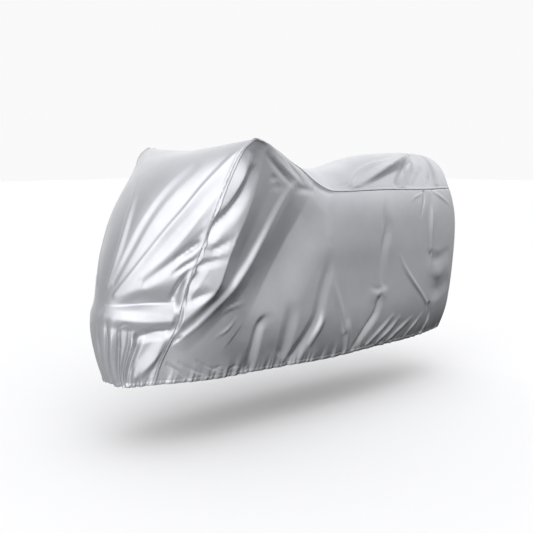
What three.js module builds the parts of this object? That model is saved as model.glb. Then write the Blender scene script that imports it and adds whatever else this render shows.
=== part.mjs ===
// Fitted motorcycle cover, draped as it hangs on a sports machine that isn't part of the model.
// Millimetres. Front at -X, left side at -Y, +Z up. The tables give heights above the ground, and
// the finished group is lowered so that its origin is under the cover's top, where it is carried.
// The tables' widths and lengths are those of the draped cloth, uneven as it hangs.
import * as THREE from "three";

// Cloth and sewing
const CLOTH = 2;
const HEM_CLOTH = 3;
const SEAM_GAP = 0.4;
const SEAM_STIFFNESS = 22;
const ROW_SPACING = 55;
const STATION_SPACING = 110;
const FRONT_ROW_SPACING = 77;
const PANEL_DROP = 780;
const SUPPORT_HEIGHT = 1064;
const SILVER_CLOTH = { name: "silver_coated_cloth", color: 0xc9cbd0, roughness: 0.42, metalness: 0.55 };

// The front hem dips between the middle of the wheel and the seams, and so do the rows next to it
const HEM_DIP = { depth: 9, rows: 2.2 };

// A side panel's bulge stays full to near its seam and hem; the front seam's bend fades towards the back
const SWELL_POWER = 4;
const BEND_FADE = 2;

// The body that the cover is pulled over, as the upright plane that its cloth faces away from
const CORE = { front: -880, topFront: -560, back: 860, low: 350, frontLow: 450, frontHigh: 1000 };
const CORE_TOP = [
  [-560, 1000],
  [-100, 930],
  [100, 930],
  [300, 960],
  [860, 940],
];

// Centre panel: one row for each station from the front hem, over the bars and the seat, to the tail.
// round says how late the row turns down, lean how much higher its left edge is than its right
const CENTRE_COLUMNS = ["middleX", "middleZ", "seamX", "half", "seamZ", "round", "lean", "middleY"];
const CENTRE_ROWS = [
  // front hem, round the wheel
  [-1000, 261, -900, 145, 262, 2.3, 0, 0],
  [-1034, 340, -880, 162, 340, 2.2, 0, 0],
  [-1052, 420, -853, 185, 417, 2.2, 0, 0],
  // nose
  [-1056, 500, -822, 205, 492, 2.2, 0, 0],
  [-1030, 583, -806, 220, 577, 2.2, 0, 0],
  [-1010, 665, -790, 237, 655, 2.2, 0, 0],
  [-978, 765, -751, 255, 757, 2.2, 0, 0],
  [-916, 900, -707, 280, 895, 2.2, 0, 0],
  [-830, 1020, -659, 302, 1017, 2.1, 5, 3],
  // handlebar, its two ends at the seams
  [-735, 1104, -607, 326, 1122, 1.7, 12, 8],
  [-640, 1138, -555, 340, 1168, 1.2, 17, 10],
  [-545, 1145, -515, 341, 1171, 1.1, 17, 10],
  [-410, 1126, -430, 308, 1150, 1.2, 15, 7],
  [-270, 1100, -330, 264, 1122, 1.6, 10, 3],
  [-130, 1080, -240, 224, 1094, 2.0, 5, 0],
  // tank
  [0, 1070, -152, 197, 1067, 2.2, 0, 0],
  [90, 1066, -60, 200, 1008, 2.4, 0, 0],
  [170, 1068, 20, 206, 974, 2.6, 0, 0],
  // seat
  [260, 1082, 120, 209, 967, 2.6, 0, 0],
  [360, 1108, 240, 210, 968, 2.6, 0, 0],
  [470, 1129, 370, 210, 968, 2.6, 0, 0],
  [600, 1136, 510, 209, 965, 2.6, 0, 0],
  [730, 1134, 640, 206, 961, 2.6, 0, 0],
  [840, 1127, 750, 202, 960, 2.6, 0, 0],
  [925, 1113, 830, 196, 960, 2.6, 0, 0],
  // tail
  [978, 1080, 892, 188, 959, 2.6, 0, 0],
  [998, 1022, 928, 178, 958, 2.5, 0, 0],
  [1006, 956, 942, 168, 957, 2.5, 0, 0],
];
const BAR_ROW = 11;
const TAIL_ROW = CENTRE_ROWS.length - 1;

// Side panels: one row for each station of the hem, from the front seam to the middle of the back.
// swell says how far the cloth stands out between seam and hem
const SIDE_COLUMNS = ["hemX", "hemHalf", "hemZ", "swell"];
const SIDE_ROWS = [
  // front wheel
  [-900, 145, 262, 0],
  [-790, 182, 259, 12],
  [-660, 200, 253, 22],
  [-540, 208, 251, 28],
  // middle of the machine
  [-420, 213, 248, 30],
  [-310, 216, 244, 30],
  [-205, 218, 241, 30],
  [-95, 220, 239, 30],
  [40, 219, 238, 28],
  [180, 216, 239, 26],
  [330, 209, 238, 26],
  // rear wheel
  [480, 197, 236, 26],
  [620, 180, 234, 28],
  [730, 162, 233, 33],
  [820, 144, 233, 38],
  [900, 126, 233, 43],
  [965, 104, 234, 48],
  // round the back
  [1018, 60, 237, 52],
  [1040, 0, 240, 52],
];
const BACK_ROW = BAR_ROW + SIDE_ROWS.length - 1;
const LEFT = -1;
const RIGHT = 1;

// Folds: path as [row, across] on the centre panel and [row, down] on a side panel, half width at
// both ends, height at the start, middle and end, crisp from 0 (round) to 1 (creased), and skew,
// which makes one flank wider than the other
const FOLD_COLUMNS = ["path", "width", "height", "crisp", "skew"];
const CENTRE_FOLDS = [
  // fan from the pinch over the nose up to the bars
  [
    [[9.5, 0.73], [8.4, 0.2], [7.5, -0.04], [6.7, -0.14], [5.9, -0.16], [4.7, -0.11]],
    [30, 16], [3, 7, 3], 0.3, -0.2,
  ],
  [
    [[9.3, -0.97], [8.6, -0.9], [8.0, -0.83], [7.2, -0.75], [6.3, -0.61], [5.2, -0.44], [4.4, -0.29]],
    [32, 18], [3, 8, 3], 0.5, -0.4,
  ],
  [[[7.8, -0.99], [7.2, -0.92], [6.6, -0.85], [6.0, -0.75], [5.2, -0.57]], [24, 14], [2, 5, 2], 0.5, -0.4],
  [[[8.6, -0.6], [7.4, -0.47], [6.0, -0.35], [4.9, -0.24]], [32, 15], [-2, -4, -2], 0.2, 0],
  [[[6.6, -0.97], [6.2, -0.9], [5.7, -0.8], [5.0, -0.64]], [34, 26], [-5, -9, -4], 0.3, -0.3],
  [[[6.35, -1], [6.2, -0.93], [5.9, -0.84]], [20, 15], [-12, -15, -4], 0.4, 0],
  [[[5.85, -1], [5.65, -0.93], [5.35, -0.86]], [18, 14], [-11, -13, -4], 0.4, 0],
  [[[5.4, -0.98], [4.9, -0.95], [4.25, -0.92]], [24, 24], [-8, -18, -12], 0.4, 0],
  [[[9.0, 0.96], [8.2, 0.84], [7.2, 0.66], [6.0, 0.42], [4.8, 0.2]], [40, 20], [3, 7, 3], 0.4, 0.3],
  [[[7.7, 0.99], [6.8, 0.88], [5.9, 0.7], [4.9, 0.44]], [32, 17], [2, 6, 2], 0.4, 0.4],
  [[[6.5, 1], [6.2, 0.92], [5.7, 0.84]], [16, 13], [-7, -9, -2], 0.5, 0],
  [[[5.8, 1], [5.3, 0.93], [4.8, 0.83]], [16, 14], [-6, -9, -3], 0.4, 0],
  // pinch and shelf over the front wheel
  [
    [[3.85, -0.2], [3.9, -0.45], [3.95, -0.68], [3.95, -0.86], [3.95, -0.99]],
    [16, 84], [-3, -29, -22], 0.7, -0.4,
  ],
  [[[3.4, -0.22], [3.3, -0.5], [3.2, -0.78], [3.2, -0.97]], [44, 44], [8, 18, 13], 0.2, 0],
  [[[2.4, -0.7], [2.6, -0.81], [2.7, -0.9], [2.7, -0.99]], [30, 40], [-8, -17, -10], 0.4, 0],
  [[[1.9, -0.98], [1.3, -0.93], [0.8, -0.85], [0.5, -0.77]], [44, 34], [10, 13, 8], 0.4, 0.3],
  [[[2.75, -0.93], [2.65, -1]], [8, 7], [-4, -5, -4], 0.5, 0],
  [[[4.0, 0.4], [4.1, 0.6], [4.2, 0.8], [4.1, 0.98]], [38, 56], [-1, -18, -14], 0.6, 0.35],
  [[[3.4, 0.3], [3.35, 0.6], [3.3, 0.94]], [38, 34], [2, 9, 8], 0.2, 0],
  [[[2.3, 0.66], [2.5, 0.82], [2.5, 0.98]], [30, 38], [-6, -13, -8], 0.4, 0],
  // pleats that the elastic draws in round the front wheel
  [[[2.9, -0.1], [1.7, -0.05], [0, 0.08]], [12, 14], [-2, -9, -9], 0.5, 0],
  [[[3.1, -0.28], [2.1, -0.28], [0, -0.14]], [11, 13], [-3, -10, -9], 0.5, 0],
  [[[3.2, -0.37], [2.1, -0.375], [0.4, -0.32]], [22, 14], [2, 9, 4], 0.3, 0],
  [[[2.7, -0.48], [1.7, -0.48], [0, -0.42]], [12, 12], [-5, -12, -9], 0.5, 0],
  [[[1.9, -0.5], [2.8, -0.47], [3.05, -0.51], [3.1, -0.57], [3.0, -0.62]], [7, 6], [-2, -5, -2], 0.6, 0],
  [[[2.8, -0.6], [1.8, -0.6], [0.1, -0.48]], [10, 10], [-4, -10, -8], 0.5, 0],
  [[[2.7, -0.65], [1.8, -0.645], [0.5, -0.55]], [9, 8], [2, 8, 3], 0.5, 0],
  [[[2.5, -0.72], [1.7, -0.7], [0.2, -0.59]], [24, 13], [-6, -15, -9], 0.4, 0],
  [[[1.1, -0.72], [0.7, -0.68], [0, -0.64]], [10, 10], [-2, -7, -6], 0.5, 0],
  [[[0.6, -0.79], [0, -0.77]], [10, 12], [-2, -6, -7], 0.3, 0],
  [[[0.5, -0.93], [0, -0.92]], [10, 12], [-2, -5, -6], 0.3, 0],
  [[[2.8, 0.14], [1.6, 0.19], [0, 0.22]], [17, 16], [-3, -8, -8], 0.4, 0],
  [[[2.5, 0.34], [1.4, 0.33], [0, 0.34]], [16, 15], [-2, -10, -9], 0.4, 0],
  [[[2.9, 0.5], [1.7, 0.48], [0, 0.47]], [20, 16], [-4, -11, -9], 0.4, 0],
  [[[2.0, 0.68], [1.2, 0.63], [0, 0.62]], [18, 14], [-3, -9, -8], 0.4, 0],
  [[[1.3, 0.86], [0.7, 0.82], [0, 0.8]], [16, 14], [-2, -8, -7], 0.3, 0],
  // seat and tail
  [[[21.8, -0.44], [20.9, -0.64], [19.8, -0.8], [18.5, -0.94]], [56, 34], [16, 46, 10], 0.75, 0.3],
  [[[21.75, -0.5], [21.45, -0.72], [21.0, -0.97]], [34, 62], [-6, -26, -26], 0.5, 0],
  [[[21.9, -0.6], [21.3, -0.81], [20.9, -0.97]], [20, 20], [4, 9, 6], 0.4, 0],
  [[[21.1, -0.54], [19.8, -0.57], [18.6, -0.68], [18.1, -0.89]], [26, 18], [2, 7, 3], 0.4, 0],
  [[[19.5, -0.66], [18.7, -0.76], [18.3, -0.92]], [12, 10], [-1, -4, -2], 0.3, 0],
  [[[22.2, -0.72], [21.8, -0.84], [21.5, -0.97]], [20, 22], [-3, -8, -5], 0.3, 0],
  [[[23.2, -0.39], [23.3, -0.72], [23.5, -0.95]], [24, 26], [3, 9, 5], 0.4, 0],
  [[[22.8, -0.66], [22.8, -0.82], [22.7, -0.95]], [10, 10], [-2, -6, -4], 0.5, 0],
  [[[17.4, -0.91], [18.1, -0.87]], [9, 7], [-2, -3, -2], 0.4, 0],
  [[[22.4, 0.4], [20.6, 0.7], [18.9, 0.92]], [36, 24], [5, 13, 5], 0.4, 0],
  [[[22.2, 0.6], [21.4, 0.82], [20.8, 0.95]], [28, 26], [-4, -11, -7], 0.2, 0],
  [[[24.4, 0.3], [24.0, 0.62], [23.2, 0.9]], [24, 26], [3, 8, 4], 0.3, 0],
  [[[24.6, -0.1], [25.6, -0.05], [26.8, -0.12]], [18, 24], [-2, -6, -4], 0.3, 0],
  // hollow between the bars
  [[[11.4, 0.7], [12.6, 0.4], [14.6, 0.2]], [40, 30], [-3, -8, -3], 0.2, 0],
  [[[11.5, -0.5], [13.0, -0.35], [15.0, -0.3]], [34, 26], [3, 8, 3], 0.3, 0],
];
const LEFT_FOLDS = [
  // band and hollows beside the front seam
  [[[11.35, 0.15], [11.5, 0.21], [11.5, 0.27], [11.35, 0.33]], [54, 44], [3, 26, 8], 0.5, 0.2],
  [
    [[11.95, 0.22], [11.85, 0.29], [11.55, 0.345], [11.2, 0.38], [11.05, 0.41]],
    [40, 32], [-6, -24, -16], 0.4, -0.1,
  ],
  [[[11.95, 0.405], [11.5, 0.435], [11.05, 0.44]], [24, 22], [-4, -16, -12], 0.4, 0],
  [[[12.0, 0.455], [11.4, 0.475], [11.05, 0.49]], [20, 20], [-2, -13, -11], 0.4, 0],
  [[[11.25, 0.5], [11.12, 0.55], [11.05, 0.6]], [28, 26], [-6, -16, -10], 0.3, 0],
  [[[11.9, 0.425], [11.5, 0.445]], [10, 10], [2, 5, 2], 0.5, 0],
  // crest from the bar's end down to the front wheel: a light slope before it and a steep one behind
  [
    [[12.0, 0.08], [12.3, 0.24], [12.2, 0.34], [12.0, 0.44], [12.05, 0.56], [11.6, 0.65], [11.05, 0.72]],
    [150, 90], [10, 44, 18], 0.7, 0.2,
  ],
  [[[11.1, 0.635], [11.5, 0.61], [11.95, 0.575]], [42, 30], [-8, -14, -2], 0.6, -0.2],
  // second crest, from the tank's corner, and the trough behind it
  [
    [[14.6, 0.18], [14.05, 0.27], [13.6, 0.38], [13.0, 0.52], [12.6, 0.6], [12.05, 0.68], [11.4, 0.78]],
    [52, 46], [3, 19, 11], 0.6, -0.45,
  ],
  [
    [[15.8, 0.13], [15.6, 0.25], [15.2, 0.37], [14.7, 0.51], [14.2, 0.62], [13.7, 0.71]],
    [175, 150], [-12, -30, -6], 0.35, -0.25,
  ],
  [[[12.6, 0.68], [12.9, 0.66], [13.5, 0.64]], [9, 9], [2, 5, 1], 0.6, 0],
  [[[12.6, 0.79], [12.9, 0.76], [13.2, 0.71]], [9, 9], [1, 5, 1], 0.6, 0],
  [[[12.2, 0.13], [13.0, 0.15], [14.0, 0.17], [14.7, 0.18]], [18, 14], [-1, -5, -2], 0.3, 0],
  [[[12.6, 0.1], [13.5, 0.12], [14.6, 0.14], [15.2, 0.15]], [16, 14], [1, 4, 1], 0.3, 0],
  [[[13.3, 0.05], [14.3, 0.09], [15.3, 0.12]], [16, 14], [-1, -4, -2], 0.3, 0],
  [[[12.8, 0.21], [13.2, 0.2], [13.6, 0.19]], [13, 11], [0, -4, 0], 0.3, 0],
  [[[13.1, 0.235], [13.6, 0.22], [14.3, 0.2]], [13, 11], [0, -3, 0], 0.3, 0],
  [[[14.9, 0.19], [15.4, 0.15], [15.9, 0.11]], [26, 22], [-2, -6, -2], 0.2, 0],
  [[[11.3, 0.91], [11.7, 0.94], [12.1, 0.975]], [11, 10], [-3, -6, -3], 0.5, 0],
  [[[11.7, 0.905], [12.3, 0.945], [12.8, 0.975]], [12, 10], [-2, -6, -3], 0.5, 0],
  [[[12.3, 0.9], [12.8, 0.935], [13.4, 0.965]], [12, 10], [-2, -5, -2], 0.5, 0],
  [[[12.9, 0.955], [13.15, 0.94], [13.4, 0.945]], [8, 7], [-1, -4, -1], 0.4, 0],
  [[[13.6, 0.96], [13.85, 0.95], [14.1, 0.953]], [8, 7], [-1, -4, -1], 0.4, 0],
  // long slack folds of the middle
  [
    [[14.95, 0.71], [14.6, 0.725], [14.4, 0.76], [14.4, 0.84], [14.45, 0.96]],
    [28, 40], [-1, -12, -9], 0.3, -0.2,
  ],
  [[[15.9, 0.6], [15.9, 0.73], [16.0, 0.9]], [60, 46], [0, -8, -7], 0.1, -0.1],
  [
    [[17.6, 0.34], [17.7, 0.42], [17.6, 0.52], [17.5, 0.65], [17.3, 0.77], [16.7, 0.95]],
    [46, 42], [-1, -8, -12], 0.2, -0.1,
  ],
  [[[17.8, 0.66], [17.8, 0.76], [17.5, 0.88]], [26, 20], [0, 6, 2], 0.2, 0],
  [[[17.9, 0.42], [18.3, 0.57], [18.8, 0.73], [19.1, 0.84]], [34, 24], [0, 4, 4], 0.2, 0],
  [[[19.1, 0.75], [19.3, 0.84], [19.5, 0.97]], [40, 28], [1, 8, 5], 0.5, 0.2],
  [[[17.1, 0.05], [17.2, 0.2], [17.5, 0.32]], [40, 30], [-1, -3, -1], 0.1, 0],
  [
    [[20.2, 0.05], [20.2, 0.18], [20.4, 0.28], [20.4, 0.36], [20.5, 0.45], [20.7, 0.57]],
    [44, 36], [-2, -11, -3], 0.3, -0.3,
  ],
  [[[20.2, 0.6], [20.5, 0.615], [20.9, 0.6]], [22, 20], [-1, -3, -1], 0.1, 0],
  [[[19.9, 0.64], [20.6, 0.65], [21.2, 0.64]], [52, 46], [0, 4, 0], 0, 0],
  // rear wheel, and the taut line down to it
  [[[20.6, 0.68], [20.5, 0.78], [20.2, 0.86], [19.8, 0.96]], [34, 22], [-8, -16, -6], 0.5, -0.3],
  [[[21.4, 0.43], [21.9, 0.52], [22.7, 0.64], [23.8, 0.77]], [20, 16], [1, 6, 3], 0.7, 0],
  [[[21.5, 0.81], [21.0, 0.89], [20.5, 0.97]], [18, 13], [2, 9, 4], 0.5, 0],
  [[[21.9, 0.83], [21.5, 0.9], [21.0, 0.98]], [18, 13], [2, 9, 4], 0.5, 0],
  [[[22.7, 0.85], [22.1, 0.91], [21.6, 0.98]], [18, 13], [2, 8, 4], 0.5, 0],
  [[[23.5, 0.85], [23.0, 0.91], [22.6, 0.98]], [18, 12], [2, 7, 4], 0.5, 0],
  [[[24.1, 0.79], [24.4, 0.89], [24.0, 0.98]], [24, 14], [-6, -8, -4], 0.4, 0],
  // tail
  [[[22.4, 0.02], [22.4, 0.11], [22.3, 0.2]], [16, 12], [-6, -8, -2], 0.5, 0],
  [[[22.9, 0.04], [23.1, 0.2], [23.5, 0.4]], [80, 70], [8, 15, 8], 0.7, -0.5],
  [[[23.4, 0.44], [24.3, 0.47], [25.4, 0.44]], [44, 38], [-1, -4, -2], 0.1, 0],
  [[[23.6, 0.53], [24.6, 0.57], [25.6, 0.53]], [50, 44], [1, 4, 2], 0.1, 0],
  [[[23.8, 0.66], [24.8, 0.69], [25.8, 0.66]], [76, 66], [-2, -8, -4], 0.1, 0],
  [[[22.3, 0.03], [21.8, 0.06], [21.6, 0.09]], [10, 8], [2, 4, 2], 0.3, 0],
  [[[23.0, 0.02], [23.9, 0.06], [25.1, 0.11]], [12, 12], [2, 5, 2], 0.5, 0],
  [[[27.2, 0.1], [27.6, 0.4], [27.3, 0.75]], [40, 44], [-4, -10, -6], 0.3, 0],
  [[[28.3, 0.3], [28.1, 0.55], [28.4, 0.85]], [34, 32], [2, 8, 6], 0.3, 0],
];
const RIGHT_FOLDS = [
  // band and hollows beside the front seam
  [[[11.5, 0.14], [11.5, 0.22], [11.35, 0.3]], [40, 30], [5, 18, 5], 0.5, -0.1],
  [[[12.0, 0.24], [11.8, 0.32], [11.4, 0.38], [11.05, 0.42]], [34, 26], [-4, -16, -10], 0.4, 0.3],
  [[[11.9, 0.46], [11.4, 0.47], [11.05, 0.46]], [18, 16], [-3, -10, -8], 0.4, 0],
  [[[11.6, 0.53], [11.3, 0.56], [11.05, 0.58]], [18, 16], [-3, -9, -7], 0.4, 0],
  // crests and the trough behind them
  [
    [[12.0, 0.15], [12.3, 0.27], [12.3, 0.38], [12.1, 0.5], [11.9, 0.58], [11.5, 0.66], [11.05, 0.72]],
    [130, 90], [10, 32, 15], 0.75, -0.3,
  ],
  [
    [[14.9, 0.18], [14.4, 0.3], [13.9, 0.44], [13.2, 0.58], [12.4, 0.69], [11.5, 0.79]],
    [66, 56], [4, 24, 10], 0.6, 0.2,
  ],
  [
    [[15.6, 0.14], [15.4, 0.3], [15.0, 0.44], [14.4, 0.58], [13.7, 0.7]],
    [165, 145], [-12, -18, -5], 0.3, 0.6,
  ],
  [[[12.4, 0.13], [13.6, 0.16], [14.9, 0.18]], [14, 12], [-3, -7, -3], 0.5, 0],
  [[[12.9, 0.08], [14.2, 0.12], [15.3, 0.14]], [13, 12], [2, 7, 2], 0.5, 0],
  [[[13.0, 0.74], [13.4, 0.7], [14.0, 0.66]], [10, 9], [2, 5, 1], 0.6, 0],
  // long slack folds of the middle
  [[[15.1, 0.68], [14.6, 0.71], [14.5, 0.8], [14.7, 0.96]], [28, 32], [-3, -14, -9], 0.6, 0.5],
  [[[16.3, 0.5], [16.5, 0.68], [16.2, 0.92]], [44, 36], [-2, -10, -8], 0.3, 0.2],
  [
    [[17.4, 0.3], [17.7, 0.45], [17.7, 0.62], [17.4, 0.78], [17.5, 0.95]],
    [30, 34], [-2, -12, -10], 0.5, 0.4,
  ],
  [[[18.0, 0.1], [18.1, 0.3], [18.6, 0.5], [19.0, 0.7], [19.2, 0.88]], [30, 26], [1, 7, 5], 0.3, 0],
  [[[19.6, 0.6], [19.8, 0.75], [20.2, 0.95]], [34, 28], [-3, -11, -8], 0.5, 0],
  [[[21.0, 0.05], [20.8, 0.22], [20.9, 0.4], [21.2, 0.55]], [34, 28], [-3, -11, -4], 0.5, 0.4],
  // rear wheel and tail
  [[[21.6, 0.62], [21.3, 0.76], [20.8, 0.95]], [34, 24], [-7, -15, -7], 0.5, 0.3],
  [[[22.2, 0.45], [22.8, 0.58], [23.6, 0.74]], [20, 16], [2, 8, 4], 0.8, 0],
  [[[22.3, 0.8], [21.8, 0.88], [21.4, 0.97]], [18, 13], [2, 8, 4], 0.5, 0],
  [[[23.0, 0.83], [22.5, 0.9], [22.1, 0.98]], [18, 13], [2, 8, 4], 0.5, 0],
  [[[23.9, 0.84], [23.4, 0.91], [23.1, 0.98]], [18, 12], [2, 7, 4], 0.5, 0],
  [[[22.8, 0.02], [22.7, 0.12], [22.8, 0.22]], [16, 12], [-5, -7, -2], 0.5, 0],
  [[[23.1, 0.04], [23.3, 0.2], [23.8, 0.42]], [80, 70], [8, 15, 8], 0.7, 0.5],
  [[[24.8, 0.6], [24.4, 0.78], [24.6, 0.97]], [44, 32], [-5, -12, -7], 0.3, 0],
  [[[26.2, 0.1], [26.6, 0.4], [26.3, 0.8]], [44, 40], [-4, -10, -6], 0.3, 0],
  [[[27.9, 0.25], [27.7, 0.5], [28.1, 0.85]], [34, 32], [2, 8, 6], 0.3, 0],
];

// Gathers that the elastic makes along the hem: wave length, height and how far up they die away
const GATHERS = {
  centre: { wave: 33, height: 3, rise: 30, perStep: 195 },
  left: { wave: 66, height: 4, rise: 55, perStep: STATION_SPACING },
  right: { wave: 71, height: 4, rise: 60, perStep: STATION_SPACING },
};

const UNEVEN = { bend: 1.1, bendRate: 0.37, fade: 0.3, fadeRate: 0.23 };

// Slackness: height of each wave, and how far along X and Z one radian of it reaches
const SLACK_WAVES = [
  { height: 2.2, x: 97, z: 210 },
  { height: 1.6, x: -160, z: 83 },
];
const SLACK_SHIFT = 1.7;

// Mesh rows and columns, finer where the folds are
const CENTRE_BANDS = [
  { from: 0, to: 0.3, rows: 2, columns: 56 },
  { from: 0.3, to: 2.6, rows: 6, columns: 44 },
  { from: 2.6, to: 4.6, rows: 6, columns: 36 },
  { from: 4.6, to: BAR_ROW, rows: 12, columns: 28 },
  { from: BAR_ROW, to: 15, rows: 8, columns: 22 },
  { from: 15, to: 24, rows: 15, columns: 18 },
  { from: 24, to: TAIL_ROW, rows: 4, columns: 18 },
];
const SIDE_BANDS = [
  { from: BAR_ROW, to: 16.5, left: 23, right: 11 },
  { from: 16.5, to: 22, left: 15, right: 8 },
  { from: 22, to: TAIL_ROW, left: 13, right: 7 },
  { from: TAIL_ROW, to: BACK_ROW, left: 6, right: 4 },
];
const HEM_COLUMNS = { left: 104, right: 60 };
const HEM_LEVELS = 3;

const clamp = THREE.MathUtils.clamp;
const lerp = THREE.MathUtils.lerp;
const smooth = (t) => THREE.MathUtils.smoothstep(t, 0, 1);

// Catmull-Rom through rows of numbers, at a row number that needn't be whole
function through(rows, at) {
  const last = rows.length - 1;
  const i = Math.min(Math.floor(clamp(at, 0, last)), last - 1);
  const f = clamp(at, 0, last) - i;
  return rows[i].map((b, k) => {
    const c = rows[i + 1][k];
    const a = i > 0 ? rows[i - 1][k] : 2 * b - c;
    const d = i < last - 1 ? rows[i + 2][k] : 2 * c - b;
    const square = 2 * a - 5 * b + 4 * c - d;
    const cube = 3 * b - a - 3 * c + d;
    return 0.5 * (2 * b + (c - a) * f + square * f ** 2 + cube * f ** 3);
  });
}

function section(columns, rows, at) {
  return Object.fromEntries(through(rows, at).map((value, k) => [columns[k], value]));
}

// Value at x of a line drawn through [x, value] points
function along(points, x) {
  const i = clamp(points.findIndex((p) => p[0] > x), 1, points.length - 1);
  const f = clamp((x - points[i - 1][0]) / (points[i][0] - points[i - 1][0]), 0, 1);
  return lerp(points[i - 1][1], points[i][1], f);
}

function centrePoint(row, across) {
  const s = section(CENTRE_COLUMNS, CENTRE_ROWS, row);
  const turn = Math.abs(across) ** s.round;
  const dip = HEM_DIP.depth * clamp(1 - row / HEM_DIP.rows, 0, 1) ** 2 * Math.sin(Math.PI * Math.abs(across));
  return new THREE.Vector3(
    lerp(s.middleX, s.seamX, turn),
    s.middleY + s.half * across,
    lerp(s.middleZ, s.seamZ, turn) - s.lean * across - dip,
  );
}

// A side panel is drawn between its seam and its hem; near the front it follows the front seam's bend
function sidePoint(row, down, side) {
  const onTail = clamp((row - TAIL_ROW) / (BACK_ROW - TAIL_ROW), 0, 1);
  const top = centrePoint(Math.min(row, TAIL_ROW), side * (1 - onTail));
  const s = section(SIDE_COLUMNS, SIDE_ROWS, row - BAR_ROW);
  const hem = new THREE.Vector3(s.hemX, side * s.hemHalf, s.hemZ);
  const straight = centrePoint(BAR_ROW, side).lerp(centrePoint(0, side), down);
  const bend = centrePoint(BAR_ROW * (1 - down), side).sub(straight);
  const fade = (BACK_ROW - row) / (BACK_ROW - BAR_ROW);
  const point = top.lerp(hem, down).addScaledVector(bend, fade ** BEND_FADE);
  const away = new THREE.Vector3(point.x - clamp(point.x, CORE.front, CORE.back), point.y, 0);
  return point.addScaledVector(away.normalize(), s.swell * (1 - (2 * down - 1) ** SWELL_POWER));
}

function outward(point) {
  const front = along([[CORE.frontLow, CORE.front], [CORE.frontHigh, CORE.topFront]], point.z);
  const x = clamp(point.x, front, CORE.back);
  const top = along(CORE_TOP, x);
  return new THREE.Vector3(point.x - x, point.y, point.z - clamp(point.z, CORE.low, top)).normalize();
}

// Each panel's place in space before folding, its limits and its folds
const PANELS = {
  centre: {
    at: centrePoint,
    limits: { u: [0, TAIL_ROW], v: [-1, 1] },
    folds: CENTRE_FOLDS,
  },
  left: {
    at: (row, down) => sidePoint(row, down, LEFT),
    limits: { u: [BAR_ROW, BACK_ROW], v: [0, 1] },
    folds: LEFT_FOLDS,
  },
  right: {
    at: (row, down) => sidePoint(row, down, RIGHT),
    limits: { u: [BAR_ROW, BACK_ROW], v: [0, 1] },
    folds: RIGHT_FOLDS,
  },
};

// Facing of a panel, from the slopes over a small step each way
const FACING_STEP = { u: 0.02, v: 0.004 };
function faceNormal(name, u, v) {
  const { at, limits } = PANELS[name];
  const [u0, u1] = [u - FACING_STEP.u, u + FACING_STEP.u].map((t) => clamp(t, ...limits.u));
  const [v0, v1] = [v - FACING_STEP.v, v + FACING_STEP.v].map((t) => clamp(t, ...limits.v));
  const normal = at(u1, v).sub(at(u0, v)).cross(at(u, v1).sub(at(u, v0))).normalize();
  return normal.dot(outward(at(u, v))) < 0 ? normal.negate() : normal;
}

// Each fold's centre line, as short straight pieces on its panel
const FOLD_STEPS = 14;
function foldLine(name, row) {
  const fold = Object.fromEntries(row.map((value, k) => [FOLD_COLUMNS[k], value]));
  const line = [];
  for (let i = 0; i <= FOLD_STEPS; i += 1) {
    const [u, v] = through(fold.path, (i / FOLD_STEPS) * (fold.path.length - 1));
    line.push({ point: PANELS[name].at(u, v), normal: faceNormal(name, u, v) });
  }
  return { ...fold, line };
}
const FOLD_LINES = Object.fromEntries(
  Object.keys(PANELS).map((name) => [name, PANELS[name].folds.map((row) => foldLine(name, row))]),
);

function foldHeight(fold, point) {
  let best = { distance: Infinity, at: 0, side: 1 };
  for (let i = 0; i < FOLD_STEPS; i += 1) {
    const { point: a, normal } = fold.line[i];
    const step = fold.line[i + 1].point.clone().sub(a);
    const to = point.clone().sub(a);
    const f = clamp(to.dot(step) / step.lengthSq(), 0, 1);
    const off = to.addScaledVector(step, -f);
    if (off.length() < best.distance) {
      const side = Math.sign(off.dot(step.cross(normal)));
      best = { distance: off.length(), at: (i + f) / FOLD_STEPS, side };
    }
  }
  const width = lerp(...fold.width, best.at) * (1 + fold.skew * best.side);
  const t = Math.min(best.distance / width, 1);
  const [start, middle, end] = fold.height;
  const [from, to, part] = best.at < 0.5 ? [start, middle, best.at * 2] : [middle, end, best.at * 2 - 1];
  const height = lerp(from, to, smooth(part));
  return height * lerp((1 - t * t) ** 2, (1 - t) ** 2, fold.crisp);
}

// Waves along the hem, of uneven length and height
function gather(name, u, v) {
  const { wave, height, rise, perStep } = GATHERS[name];
  const above = name === "centre" ? u * FRONT_ROW_SPACING : (1 - v) * PANEL_DROP;
  const turn = ((name === "centre" ? v : u - BAR_ROW) * perStep * 2 * Math.PI) / wave;
  const { bend, bendRate, fade, fadeRate } = UNEVEN;
  const shifted = turn + bend * Math.sin(turn * bendRate);
  const share = 1 - fade + fade * Math.sin(turn * fadeRate);
  return height * share * Math.sin(shifted) * Math.exp(-((above / rise) ** 2));
}

// Broad, shallow slackness that leaves no stretch quite flat
function slack(name, point) {
  const shift = name === "right" ? SLACK_SHIFT : 0;
  return SLACK_WAVES.reduce((sum, w) => sum + w.height * Math.sin(point.x / w.x + point.z / w.z + shift), 0);
}

// Folds die away at a seam, which is stiffer than the cloth; the hem stays free
function looseness(name, u, v) {
  if (name === "centre") {
    const toSeam = (1 - Math.abs(v)) * section(CENTRE_COLUMNS, CENTRE_ROWS, u).half;
    return smooth(toSeam / SEAM_STIFFNESS) * smooth(((TAIL_ROW - u) * ROW_SPACING) / SEAM_STIFFNESS);
  }
  const distances = [v * PANEL_DROP, (u - BAR_ROW) * STATION_SPACING, (BACK_ROW - u) * ROW_SPACING];
  return distances.reduce((product, d) => product * smooth(d / SEAM_STIFFNESS), 1);
}

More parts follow.
